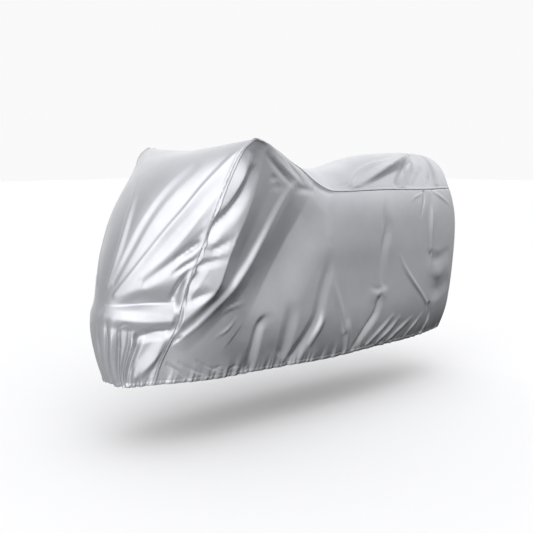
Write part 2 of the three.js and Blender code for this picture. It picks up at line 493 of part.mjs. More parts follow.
function clothPoint(name, u, v) {
  const point = PANELS[name].at(u, v);
  const folds = FOLD_LINES[name].reduce((sum, fold) => sum + foldHeight(fold, point), 0);
  const height = folds + gather(name, u, v) + slack(name, point);
  return point.addScaledVector(faceNormal(name, u, v), height * looseness(name, u, v));
}

function steps(from, to, count) {
  return Array.from({ length: count }, (_, i) => lerp(from, to, i / count));
}

const CENTRE_LEVELS = [
  ...CENTRE_BANDS.flatMap((band) =>
    steps(band.from, band.to, band.rows).map((u) => ({ u, columns: band.columns })),
  ),
  { u: TAIL_ROW, columns: CENTRE_BANDS.at(-1).columns },
];
const FRONT_LEVELS = CENTRE_LEVELS.filter((level) => level.u <= BAR_ROW);
const TAIL_COLUMNS = CENTRE_BANDS.at(-1).columns / 2;

// How far into a panel its facing is read for the seam, clear of its pointed corners
const BESIDE = { rows: 0.5, down: 0.04, across: 0.96 };

// The seam from the front hem over the bar's end and along the seat to the middle of the tail.
// Both panels beside it use these points, each standing half the gap away
function seamLine(side) {
  const name = side === LEFT ? "left" : "right";
  const stations = CENTRE_LEVELS.slice(0, -1).map(({ u }) => ({ u, across: side }));
  for (let i = 0; i <= TAIL_COLUMNS; i += 1) {
    stations.push({ u: TAIL_ROW, across: side * (1 - i / TAIL_COLUMNS) });
  }
  const points = stations.map(({ u, across }) => centrePoint(u, across));
  return stations.map(({ u, across }, k) => {
    const row = Math.max(u + (1 - Math.abs(across)) * (BACK_ROW - TAIL_ROW), BAR_ROW + BESIDE.rows);
    const beside = faceNormal(name, row, Math.max(1 - u / BAR_ROW, BESIDE.down));
    const inset = clamp(across, -BESIDE.across, BESIDE.across);
    const normal = faceNormal("centre", Math.min(u, TAIL_ROW - BESIDE.rows), inset).add(beside).normalize();
    const before = points[Math.max(k - 1, 0)];
    const after = k < points.length - 1 ? points[k + 1] : before.clone().setY(-before.y);
    const away = after.clone().sub(before).cross(normal).multiplyScalar(-side).normalize();
    return { point: points[k], normal, away };
  });
}
const SEAMS = { [LEFT]: seamLine(LEFT), [RIGHT]: seamLine(RIGHT) };

function seamVertex(side, k, towards) {
  const { point, normal, away } = SEAMS[side][k];
  return { point: point.clone().addScaledVector(away, (towards * SEAM_GAP) / 2), normal };
}

// Centre panel as levels of vertices from the front hem to the tail
function centreLevels() {
  return CENTRE_LEVELS.map(({ u, columns }, level) => {
    const vertices = [];
    for (let i = 0; i <= columns; i += 1) {
      const across = (2 * i) / columns - 1;
      const side = across > 0 ? RIGHT : LEFT;
      let vertex = { point: clothPoint("centre", u, across) };
      if (u === TAIL_ROW) vertex = seamVertex(side, level + Math.min(i, columns - i), -1);
      else if (Math.abs(across) === 1) vertex = seamVertex(side, level, -1);
      vertices.push({ ...vertex, key: i / columns, cloth: u < CENTRE_BANDS[0].to ? HEM_CLOTH : CLOTH });
    }
    return vertices;
  });
}

// The two side panels meet in a plain seam down the middle of the back
function backVertex({ point, normal = new THREE.Vector3(1, 0, 0) }, side) {
  return { point: point.setY((side * SEAM_GAP) / 2), normal: normal.clone().setY(0).normalize() };
}

// Side panel as levels of vertices from the top seam down to the hem
function sideLevels(name, side) {
  const bar = FRONT_LEVELS.length - 1;
  const spread = SIDE_BANDS.flatMap((band) => steps(band.from, band.to, band[name])).concat(BACK_ROW);
  const hemSpread = steps(BAR_ROW, BACK_ROW, HEM_COLUMNS[name]).concat(BACK_ROW);
  const top = SEAMS[side].slice(bar).map((_, k) => {
    const level = CENTRE_LEVELS[Math.min(bar + k, CENTRE_LEVELS.length - 1)];
    const past = Math.max(bar + k - (CENTRE_LEVELS.length - 1), 0);
    return { u: level.u + (past / TAIL_COLUMNS) * (BACK_ROW - TAIL_ROW), seam: bar + k };
  });
  return [...FRONT_LEVELS].reverse().map((front, level) => {
    const down = 1 - front.u / BAR_ROW;
    const fromHem = bar - level;
    const columns = fromHem < HEM_LEVELS ? hemSpread : spread;
    const stations = level === 0 ? top : columns.map((u) => ({ u }));
    return stations.map(({ u, seam }, i) => {
      const last = i === stations.length - 1;
      let vertex = { point: clothPoint(name, u, down) };
      if (level === 0) vertex = seamVertex(side, seam, 1);
      else if (i === 0) vertex = seamVertex(side, bar - level, 1);
      if (last) vertex = backVertex(vertex, side);
      const key = (u - BAR_ROW) / (BACK_ROW - BAR_ROW);
      return { ...vertex, key, cloth: fromHem < HEM_LEVELS - 1 ? HEM_CLOTH : CLOTH };
    });
  });
}

// Triangles between two levels whose vertices needn't be level with each other
function strip(a, b) {
  const triangles = [];
  let i = 0;
  let j = 0;
  while (i < a.length - 1 || j < b.length - 1) {
    const stepA = j === b.length - 1 || (i < a.length - 1 && a[i + 1].key <= b[j + 1].key);
    if (stepA) triangles.push([a[i].index, a[i + 1].index, b[j].index]);
    else triangles.push([a[i].index, b[j + 1].index, b[j].index]);
    if (stepA) i += 1;
    else j += 1;
  }
  return triangles;
}

// The panel's outer and inner faces and the wall round its edge, as one closed body
function clothMesh(name, levels) {
  const vertices = levels.flat();
  vertices.forEach((vertex, index) => Object.assign(vertex, { index }));
  let faces = levels.slice(1).flatMap((level, k) => strip(levels[k], level));
  const sums = vertices.map(() => new THREE.Vector3());
  const corner = (index) => vertices[index].point;
  faces.forEach(([a, b, c]) => {
    const area = corner(b).clone().sub(corner(a)).cross(corner(c).clone().sub(corner(a)));
    [a, b, c].forEach((index) => sums[index].add(area));
  });
  const flipped = sums.reduce((total, sum, k) => total + sum.dot(outward(vertices[k].point)), 0) < 0;
  if (flipped) faces = faces.map(([a, b, c]) => [a, c, b]);
  const normals = vertices.map((v, k) => v.normal ?? sums[k].multiplyScalar(flipped ? -1 : 1).normalize());
  const extra = vertices.map((v) => (v.cloth - CLOTH) / 2);
  const outer = vertices.map((v, k) => v.point.clone().addScaledVector(normals[k], extra[k]));
  const inner = vertices.map((v, k) => v.point.clone().addScaledVector(normals[k], -CLOTH - extra[k]));
  const positions = [...outer, ...inner].flatMap((p) => p.toArray());
  const count = vertices.length;
  const index = faces.flat();
  faces.forEach(([a, b, c]) => index.push(a + count, c + count, b + count));
  const used = new Set(faces.flatMap(([a, b, c]) => [`${a},${b}`, `${b},${c}`, `${c},${a}`]));
  used.forEach((edge) => {
    const [a, b] = edge.split(",").map(Number);
    if (!used.has(`${b},${a}`)) index.push(b, a, a + count, b, a + count, b + count);
  });
  const geometry = new THREE.BufferGeometry();
  geometry.setAttribute("position", new THREE.Float32BufferAttribute(positions, 3));
  geometry.setIndex(index);
  geometry.computeVertexNormals();
  const material = new THREE.MeshStandardMaterial(SILVER_CLOTH);
  const mesh = new THREE.Mesh(geometry, material);
  mesh.name = name;
  mesh.position.z = -SUPPORT_HEIGHT;
  return mesh;
}

const cover = new THREE.Group();
cover.name = "motorcycle_cover";
cover.add(
  clothMesh("centre_panel", centreLevels()),
  clothMesh("left_side_panel", sideLevels("left", LEFT)),
  clothMesh("right_side_panel", sideLevels("right", RIGHT)),
);

export default cover;
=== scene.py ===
# Fitted motorcycle cover of thin silver coated cloth, draped as it hangs.
# Front at -X, left side at -Y, +Z up. Sizes are in millimetres until a mesh is made, which is in metres.
import math

import bpy
import numpy as np
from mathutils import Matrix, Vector


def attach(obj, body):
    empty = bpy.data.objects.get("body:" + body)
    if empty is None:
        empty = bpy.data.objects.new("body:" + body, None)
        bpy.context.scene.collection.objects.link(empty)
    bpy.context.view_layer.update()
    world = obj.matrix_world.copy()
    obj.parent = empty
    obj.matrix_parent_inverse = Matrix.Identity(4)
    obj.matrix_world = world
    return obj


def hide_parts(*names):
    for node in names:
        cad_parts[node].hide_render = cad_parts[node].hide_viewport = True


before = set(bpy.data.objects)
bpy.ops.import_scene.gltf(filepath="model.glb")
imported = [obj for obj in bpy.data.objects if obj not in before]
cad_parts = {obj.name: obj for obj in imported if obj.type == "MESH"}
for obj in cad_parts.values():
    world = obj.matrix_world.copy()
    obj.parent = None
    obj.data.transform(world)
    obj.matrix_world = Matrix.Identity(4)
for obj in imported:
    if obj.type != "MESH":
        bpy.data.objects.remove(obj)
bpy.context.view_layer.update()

MILLIMETRE = 0.001
TINY = 1e-9
SIDES = {"left": -1, "right": 1}

# Height above the ground of the frame's origin, which lies under the cover's top
SUPPORT_HEIGHT = 1064

# Usual lengths of cloth: from row to row at the tail and at the front hem, from station to station
# of a side panel, and from its top seam to its hem
ROW_SPACING = 55
FRONT_ROW_SPACING = 77
STATION_SPACING = 110
PANEL_DROP = 780

# Thickness of the cloth, and how far from a seam the folds reach their full height
CLOTH = 1.0
SEAM_STIFFNESS = 12

# Sewing: the edge that lies on top at a seam and the groove beside it, the elastic's channel at the
# hem, and the folded edges inside, which are inset on each panel. The lap changes panels that many
# rows from the bar's end
SEAM_LIP = {"height": 1.8, "width": 8.0, "step": 3.0}
SEAM_GROOVE = {"depth": 0.8, "width": 3.0}
HEM_CHANNEL = {"width": 16.0, "bulge": 0.8, "groove": 0.6, "stitched": 2.5}
ALLOWANCE = {"inset": [9, 4.5], "below": 1.5, "thickness": 0.6, "steps": 700, "tailSteps": 70}
LAP_CHANGE = 0.5

# Stitches, as small spindles whose rings are [place along the stitch, share of its radius]. The seat
# seam's start that many rows past the bar's end, and the tail's stop short of the corners
STITCH = {"pitch": 5.5, "length": 3.8, "radius": 0.45, "inset": 5.0, "sides": 6}
STITCH_RINGS = [[-0.5, 0.05], [-0.36, 0.8], [0, 1], [0.36, 0.8], [0.5, 0.05]]
SEWN_LINE = {"steps": 900, "pastBar": 0.4, "tailReach": 0.98}

# The front hem dips between the middle of the wheel and the seams, and so do the rows next to it
HEM_DIP = {"depth": 9, "rows": 2.2}

# A side panel's bulge stays full to near its seam and hem; the front seam's bend fades towards the back
SWELL_POWER = 4
BEND_FADE = 2

# The body that the cover is pulled over, as the upright plane that its cloth faces away from
CORE = {"front": -880, "topFront": -560, "back": 860, "low": 350, "frontLow": 450, "frontHigh": 1000}
CORE_TOP = [[-560, 1000], [-100, 930], [100, 930], [300, 960], [860, 940]]

# Centre panel: a row for each station from the front hem, over the bars and the seat, to the tail.
# round says how late the row turns down, lean how much higher its left edge is than its right
CENTRE_COLUMNS = ["middleX", "middleZ", "seamX", "half", "seamZ", "round", "lean", "middleY"]
CENTRE_ROWS = [
    # front hem, round the wheel
    [-1000, 261, -900, 145, 262, 2.3, 0, 0],
    [-1034, 340, -880, 162, 340, 2.2, 0, 0],
    [-1052, 420, -853, 185, 417, 2.2, 0, 0],
    # nose
    [-1056, 500, -822, 205, 492, 2.2, 0, 0],
    [-1030, 583, -806, 220, 577, 2.2, 0, 0],
    [-1010, 665, -790, 237, 655, 2.2, 0, 0],
    [-978, 765, -751, 255, 757, 2.2, 0, 0],
    [-916, 900, -707, 280, 895, 2.2, 0, 0],
    [-830, 1020, -659, 302, 1017, 2.1, 5, 3],
    # handlebar, its two ends at the seams
    [-735, 1104, -607, 326, 1122, 1.7, 12, 8],
    [-640, 1138, -555, 340, 1168, 1.2, 17, 10],
    [-545, 1145, -515, 341, 1171, 1.1, 17, 10],
    [-410, 1126, -430, 308, 1150, 1.2, 15, 7],
    [-270, 1100, -330, 264, 1122, 1.6, 10, 3],
    [-130, 1080, -240, 224, 1094, 2.0, 5, 0],
    # tank
    [0, 1070, -152, 197, 1067, 2.2, 0, 0],
    [90, 1066, -60, 200, 1008, 2.4, 0, 0],
    [170, 1068, 20, 206, 974, 2.6, 0, 0],
    # seat
    [260, 1082, 120, 209, 967, 2.6, 0, 0],
    [360, 1108, 240, 210, 968, 2.6, 0, 0],
    [470, 1129, 370, 210, 968, 2.6, 0, 0],
    [600, 1136, 510, 209, 965, 2.6, 0, 0],
    [730, 1134, 640, 206, 961, 2.6, 0, 0],
    [840, 1127, 750, 202, 960, 2.6, 0, 0],
    [925, 1113, 830, 196, 960, 2.6, 0, 0],
    # tail
    [978, 1080, 892, 188, 959, 2.6, 0, 0],
    [998, 1022, 928, 178, 958, 2.5, 0, 0],
    [1006, 956, 942, 168, 957, 2.5, 0, 0],
]
BAR_ROW = 11
TAIL_ROW = len(CENTRE_ROWS) - 1

# Side panels: a row for each station of the hem, from the front seam to the middle of the back.
# swell says how far the cloth stands out between seam and hem
SIDE_COLUMNS = ["hemX", "hemHalf", "hemZ", "swell"]
SIDE_ROWS = [
    # front wheel
    [-900, 145, 262, 0],
    [-790, 182, 259, 12],
    [-660, 200, 253, 22],
    [-540, 208, 251, 28],
    # middle of the machine
    [-420, 213, 248, 30],
    [-310, 216, 244, 30],
    [-205, 218, 241, 30],
    [-95, 220, 239, 30],
    [40, 219, 238, 28],
    [180, 216, 239, 26],
    [330, 209, 238, 26],
    # rear wheel
    [480, 197, 236, 26],
    [620, 180, 234, 28],
    [730, 162, 233, 33],
    [820, 144, 233, 38],
    [900, 126, 233, 43],
    [965, 104, 234, 48],
    # round the back
    [1018, 60, 237, 52],
    [1040, 0, 240, 52],
]
BACK_ROW = BAR_ROW + len(SIDE_ROWS) - 1

# Folds: path as [row, across] on the centre panel and [row, down] on a side panel, half width at
# both ends, height at the start, middle and end, crisp from 0 (round) to 1 (creased), and skew,
# which makes one flank wider than the other. A path is followed in so many straight steps
FOLD_STEPS = 14
CENTRE_FOLDS = [
    # fan from the pinch over the nose up to the bars
    [[[9.5, 0.73], [8.4, 0.2], [7.5, -0.04], [6.7, -0.14], [5.9, -0.16], [4.7, -0.11]],
     [30, 16], [3, 7, 3], 0.3, -0.2],
    [[[9.3, -0.97], [8.6, -0.9], [8.0, -0.83], [7.2, -0.75], [6.3, -0.61], [5.2, -0.44], [4.4, -0.29]],
     [32, 18], [3, 8, 3], 0.5, -0.4],
    [[[7.8, -0.99], [7.2, -0.92], [6.6, -0.85], [6.0, -0.75], [5.2, -0.57]], [24, 14], [2, 5, 2], 0.5, -0.4],
    [[[8.6, -0.6], [7.4, -0.47], [6.0, -0.35], [4.9, -0.24]], [32, 15], [-2, -4, -2], 0.2, 0],
    [[[6.6, -0.97], [6.2, -0.9], [5.7, -0.8], [5.0, -0.64]], [34, 26], [-5, -9, -4], 0.3, -0.3],
    [[[6.35, -1], [6.2, -0.93], [5.9, -0.84]], [20, 15], [-12, -15, -4], 0.4, 0],
    [[[5.85, -1], [5.65, -0.93], [5.35, -0.86]], [18, 14], [-11, -13, -4], 0.4, 0],
    [[[5.4, -0.98], [4.9, -0.95], [4.25, -0.92]], [24, 24], [-8, -18, -12], 0.4, 0],
    [[[9.0, 0.96], [8.2, 0.84], [7.2, 0.66], [6.0, 0.42], [4.8, 0.2]], [40, 20], [3, 7, 3], 0.4, 0.3],
    [[[7.7, 0.99], [6.8, 0.88], [5.9, 0.7], [4.9, 0.44]], [32, 17], [2, 6, 2], 0.4, 0.4],
    [[[6.5, 1], [6.2, 0.92], [5.7, 0.84]], [16, 13], [-7, -9, -2], 0.5, 0],
    [[[5.8, 1], [5.3, 0.93], [4.8, 0.83]], [16, 14], [-6, -9, -3], 0.4, 0],
    # pinch and shelf over the front wheel
    [[[3.85, -0.2], [3.9, -0.45], [3.95, -0.68], [3.95, -0.86], [3.95, -0.99]],
     [16, 84], [-3, -29, -22], 0.7, -0.4],
    [[[3.4, -0.22], [3.3, -0.5], [3.2, -0.78], [3.2, -0.97]], [44, 44], [8, 18, 13], 0.2, 0],
    [[[2.4, -0.7], [2.6, -0.81], [2.7, -0.9], [2.7, -0.99]], [30, 40], [-8, -17, -10], 0.4, 0],
    [[[1.9, -0.98], [1.3, -0.93], [0.8, -0.85], [0.5, -0.77]], [44, 34], [10, 13, 8], 0.4, 0.3],
    [[[2.75, -0.93], [2.65, -1]], [8, 7], [-4, -5, -4], 0.5, 0],
    [[[4.0, 0.4], [4.1, 0.6], [4.2, 0.8], [4.1, 0.98]], [38, 56], [-1, -18, -14], 0.6, 0.35],
    [[[3.4, 0.3], [3.35, 0.6], [3.3, 0.94]], [38, 34], [2, 9, 8], 0.2, 0],
    [[[2.3, 0.66], [2.5, 0.82], [2.5, 0.98]], [30, 38], [-6, -13, -8], 0.4, 0],
    # pleats that the elastic draws in round the front wheel
    [[[2.9, -0.1], [1.7, -0.05], [0, 0.08]], [12, 14], [-2, -9, -9], 0.5, 0],
    [[[3.1, -0.28], [2.1, -0.28], [0, -0.14]], [11, 13], [-3, -10, -9], 0.5, 0],
    [[[3.2, -0.37], [2.1, -0.375], [0.4, -0.32]], [22, 14], [2, 9, 4], 0.3, 0],
    [[[2.7, -0.48], [1.7, -0.48], [0, -0.42]], [12, 12], [-5, -12, -9], 0.5, 0],
    [[[1.9, -0.5], [2.8, -0.47], [3.05, -0.51], [3.1, -0.57], [3.0, -0.62]], [7, 6], [-2, -5, -2], 0.6, 0],
    [[[2.8, -0.6], [1.8, -0.6], [0.1, -0.48]], [10, 10], [-4, -10, -8], 0.5, 0],
    [[[2.7, -0.65], [1.8, -0.645], [0.5, -0.55]], [9, 8], [2, 8, 3], 0.5, 0],
    [[[2.5, -0.72], [1.7, -0.7], [0.2, -0.59]], [24, 13], [-6, -15, -9], 0.4, 0],
    [[[1.1, -0.72], [0.7, -0.68], [0, -0.64]], [10, 10], [-2, -7, -6], 0.5, 0],
    [[[0.6, -0.79], [0, -0.77]], [10, 12], [-2, -6, -7], 0.3, 0],
    [[[0.5, -0.93], [0, -0.92]], [10, 12], [-2, -5, -6], 0.3, 0],
    [[[2.8, 0.14], [1.6, 0.19], [0, 0.22]], [17, 16], [-3, -8, -8], 0.4, 0],
    [[[2.5, 0.34], [1.4, 0.33], [0, 0.34]], [16, 15], [-2, -10, -9], 0.4, 0],
    [[[2.9, 0.5], [1.7, 0.48], [0, 0.47]], [20, 16], [-4, -11, -9], 0.4, 0],
    [[[2.0, 0.68], [1.2, 0.63], [0, 0.62]], [18, 14], [-3, -9, -8], 0.4, 0],
    [[[1.3, 0.86], [0.7, 0.82], [0, 0.8]], [16, 14], [-2, -8, -7], 0.3, 0],
    # seat and tail
    [[[21.8, -0.44], [20.9, -0.64], [19.8, -0.8], [18.5, -0.94]], [56, 34], [16, 46, 10], 0.75, 0.3],
    [[[21.75, -0.5], [21.45, -0.72], [21.0, -0.97]], [34, 62], [-6, -26, -26], 0.5, 0],
    [[[21.9, -0.6], [21.3, -0.81], [20.9, -0.97]], [20, 20], [4, 9, 6], 0.4, 0],
    [[[21.1, -0.54], [19.8, -0.57], [18.6, -0.68], [18.1, -0.89]], [26, 18], [2, 7, 3], 0.4, 0],
    [[[19.5, -0.66], [18.7, -0.76], [18.3, -0.92]], [12, 10], [-1, -4, -2], 0.3, 0],
    [[[22.2, -0.72], [21.8, -0.84], [21.5, -0.97]], [20, 22], [-3, -8, -5], 0.3, 0],
    [[[23.2, -0.39], [23.3, -0.72], [23.5, -0.95]], [24, 26], [3, 9, 5], 0.4, 0],
    [[[22.8, -0.66], [22.8, -0.82], [22.7, -0.95]], [10, 10], [-2, -6, -4], 0.5, 0],
    [[[17.4, -0.91], [18.1, -0.87]], [9, 7], [-2, -3, -2], 0.4, 0],
    [[[22.4, 0.4], [20.6, 0.7], [18.9, 0.92]], [36, 24], [5, 13, 5], 0.4, 0],
    [[[22.2, 0.6], [21.4, 0.82], [20.8, 0.95]], [28, 26], [-4, -11, -7], 0.2, 0],
    [[[24.4, 0.3], [24.0, 0.62], [23.2, 0.9]], [24, 26], [3, 8, 4], 0.3, 0],
    [[[24.6, -0.1], [25.6, -0.05], [26.8, -0.12]], [18, 24], [-2, -6, -4], 0.3, 0],
    # hollow between the bars
    [[[11.4, 0.7], [12.6, 0.4], [14.6, 0.2]], [40, 30], [-3, -8, -3], 0.2, 0],
    [[[11.5, -0.5], [13.0, -0.35], [15.0, -0.3]], [34, 26], [3, 8, 3], 0.3, 0],
]
LEFT_FOLDS = [
    # band and hollows beside the front seam
    [[[11.35, 0.15], [11.5, 0.21], [11.5, 0.27], [11.35, 0.33]], [54, 44], [3, 26, 8], 0.5, 0.2],
    [[[11.95, 0.22], [11.85, 0.29], [11.55, 0.345], [11.2, 0.38], [11.05, 0.41]],
     [40, 32], [-6, -24, -16], 0.4, -0.1],
    [[[11.95, 0.405], [11.5, 0.435], [11.05, 0.44]], [24, 22], [-4, -16, -12], 0.4, 0],
    [[[12.0, 0.455], [11.4, 0.475], [11.05, 0.49]], [20, 20], [-2, -13, -11], 0.4, 0],
    [[[11.25, 0.5], [11.12, 0.55], [11.05, 0.6]], [28, 26], [-6, -16, -10], 0.3, 0],
    [[[11.9, 0.425], [11.5, 0.445]], [10, 10], [2, 5, 2], 0.5, 0],
    # crest from the bar's end down to the front wheel: a light slope before it and a steep one behind
    [[[12.0, 0.08], [12.3, 0.24], [12.2, 0.34], [12.0, 0.44], [12.05, 0.56], [11.6, 0.65], [11.05, 0.72]],
     [150, 90], [10, 44, 18], 0.7, 0.2],
    [[[11.1, 0.635], [11.5, 0.61], [11.95, 0.575]], [42, 30], [-8, -14, -2], 0.6, -0.2],
    # second crest, from the tank's corner, and the trough behind it
    [[[14.6, 0.18], [14.05, 0.27], [13.6, 0.38], [13.0, 0.52], [12.6, 0.6], [12.05, 0.68], [11.4, 0.78]],
     [52, 46], [3, 19, 11], 0.6, -0.45],
    [[[15.8, 0.13], [15.6, 0.25], [15.2, 0.37], [14.7, 0.51], [14.2, 0.62], [13.7, 0.71]],
     [175, 150], [-12, -30, -6], 0.35, -0.25],
    [[[12.6, 0.68], [12.9, 0.66], [13.5, 0.64]], [9, 9], [2, 5, 1], 0.6, 0],
    [[[12.6, 0.79], [12.9, 0.76], [13.2, 0.71]], [9, 9], [1, 5, 1], 0.6, 0],
    [[[12.2, 0.13], [13.0, 0.15], [14.0, 0.17], [14.7, 0.18]], [18, 14], [-1, -5, -2], 0.3, 0],
    [[[12.6, 0.1], [13.5, 0.12], [14.6, 0.14], [15.2, 0.15]], [16, 14], [1, 4, 1], 0.3, 0],
    [[[13.3, 0.05], [14.3, 0.09], [15.3, 0.12]], [16, 14], [-1, -4, -2], 0.3, 0],
    [[[12.8, 0.21], [13.2, 0.2], [13.6, 0.19]], [13, 11], [0, -4, 0], 0.3, 0],
    [[[13.1, 0.235], [13.6, 0.22], [14.3, 0.2]], [13, 11], [0, -3, 0], 0.3, 0],
    [[[14.9, 0.19], [15.4, 0.15], [15.9, 0.11]], [26, 22], [-2, -6, -2], 0.2, 0],
    [[[11.3, 0.91], [11.7, 0.94], [12.1, 0.975]], [11, 10], [-3, -6, -3], 0.5, 0],
    [[[11.7, 0.905], [12.3, 0.945], [12.8, 0.975]], [12, 10], [-2, -6, -3], 0.5, 0],
    [[[12.3, 0.9], [12.8, 0.935], [13.4, 0.965]], [12, 10], [-2, -5, -2], 0.5, 0],
    [[[12.9, 0.955], [13.15, 0.94], [13.4, 0.945]], [8, 7], [-1, -4, -1], 0.4, 0],
    [[[13.6, 0.96], [13.85, 0.95], [14.1, 0.953]], [8, 7], [-1, -4, -1], 0.4, 0],
    # long slack folds of the middle
    [[[14.95, 0.71], [14.6, 0.725], [14.4, 0.76], [14.4, 0.84], [14.45, 0.96]],
     [28, 40], [-1, -12, -9], 0.3, -0.2],
    [[[15.9, 0.6], [15.9, 0.73], [16.0, 0.9]], [60, 46], [0, -8, -7], 0.1, -0.1],
    [[[17.6, 0.34], [17.7, 0.42], [17.6, 0.52], [17.5, 0.65], [17.3, 0.77], [16.7, 0.95]],
     [46, 42], [-1, -8, -12], 0.2, -0.1],
    [[[17.8, 0.66], [17.8, 0.76], [17.5, 0.88]], [26, 20], [0, 6, 2], 0.2, 0],
    [[[17.9, 0.42], [18.3, 0.57], [18.8, 0.73], [19.1, 0.84]], [34, 24], [0, 4, 4], 0.2, 0],
    [[[19.1, 0.75], [19.3, 0.84], [19.5, 0.97]], [40, 28], [1, 8, 5], 0.5, 0.2],
    [[[17.1, 0.05], [17.2, 0.2], [17.5, 0.32]], [40, 30], [-1, -3, -1], 0.1, 0],
    [[[20.2, 0.05], [20.2, 0.18], [20.4, 0.28], [20.4, 0.36], [20.5, 0.45], [20.7, 0.57]],
     [44, 36], [-2, -11, -3], 0.3, -0.3],
    [[[20.2, 0.6], [20.5, 0.615], [20.9, 0.6]], [22, 20], [-1, -3, -1], 0.1, 0],
    [[[19.9, 0.64], [20.6, 0.65], [21.2, 0.64]], [52, 46], [0, 4, 0], 0, 0],
    # rear wheel, and the taut line down to it
    [[[20.6, 0.68], [20.5, 0.78], [20.2, 0.86], [19.8, 0.96]], [34, 22], [-8, -16, -6], 0.5, -0.3],
    [[[21.4, 0.43], [21.9, 0.52], [22.7, 0.64], [23.8, 0.77]], [20, 16], [1, 6, 3], 0.7, 0],
    [[[21.5, 0.81], [21.0, 0.89], [20.5, 0.97]], [18, 13], [2, 9, 4], 0.5, 0],
    [[[21.9, 0.83], [21.5, 0.9], [21.0, 0.98]], [18, 13], [2, 9, 4], 0.5, 0],
    [[[22.7, 0.85], [22.1, 0.91], [21.6, 0.98]], [18, 13], [2, 8, 4], 0.5, 0],
    [[[23.5, 0.85], [23.0, 0.91], [22.6, 0.98]], [18, 12], [2, 7, 4], 0.5, 0],
    [[[24.1, 0.79], [24.4, 0.89], [24.0, 0.98]], [24, 14], [-6, -8, -4], 0.4, 0],
    # tail
    [[[22.4, 0.02], [22.4, 0.11], [22.3, 0.2]], [16, 12], [-6, -8, -2], 0.5, 0],
    [[[22.9, 0.04], [23.1, 0.2], [23.5, 0.4]], [80, 70], [8, 15, 8], 0.7, -0.5],
    [[[23.4, 0.44], [24.3, 0.47], [25.4, 0.44]], [44, 38], [-1, -4, -2], 0.1, 0],
    [[[23.6, 0.53], [24.6, 0.57], [25.6, 0.53]], [50, 44], [1, 4, 2], 0.1, 0],
    [[[23.8, 0.66], [24.8, 0.69], [25.8, 0.66]], [76, 66], [-2, -8, -4], 0.1, 0],
    [[[22.3, 0.03], [21.8, 0.06], [21.6, 0.09]], [10, 8], [2, 4, 2], 0.3, 0],
    [[[23.0, 0.02], [23.9, 0.06], [25.1, 0.11]], [12, 12], [2, 5, 2], 0.5, 0],
    [[[27.2, 0.1], [27.6, 0.4], [27.3, 0.75]], [40, 44], [-4, -10, -6], 0.3, 0],
    [[[28.3, 0.3], [28.1, 0.55], [28.4, 0.85]], [34, 32], [2, 8, 6], 0.3, 0],
]
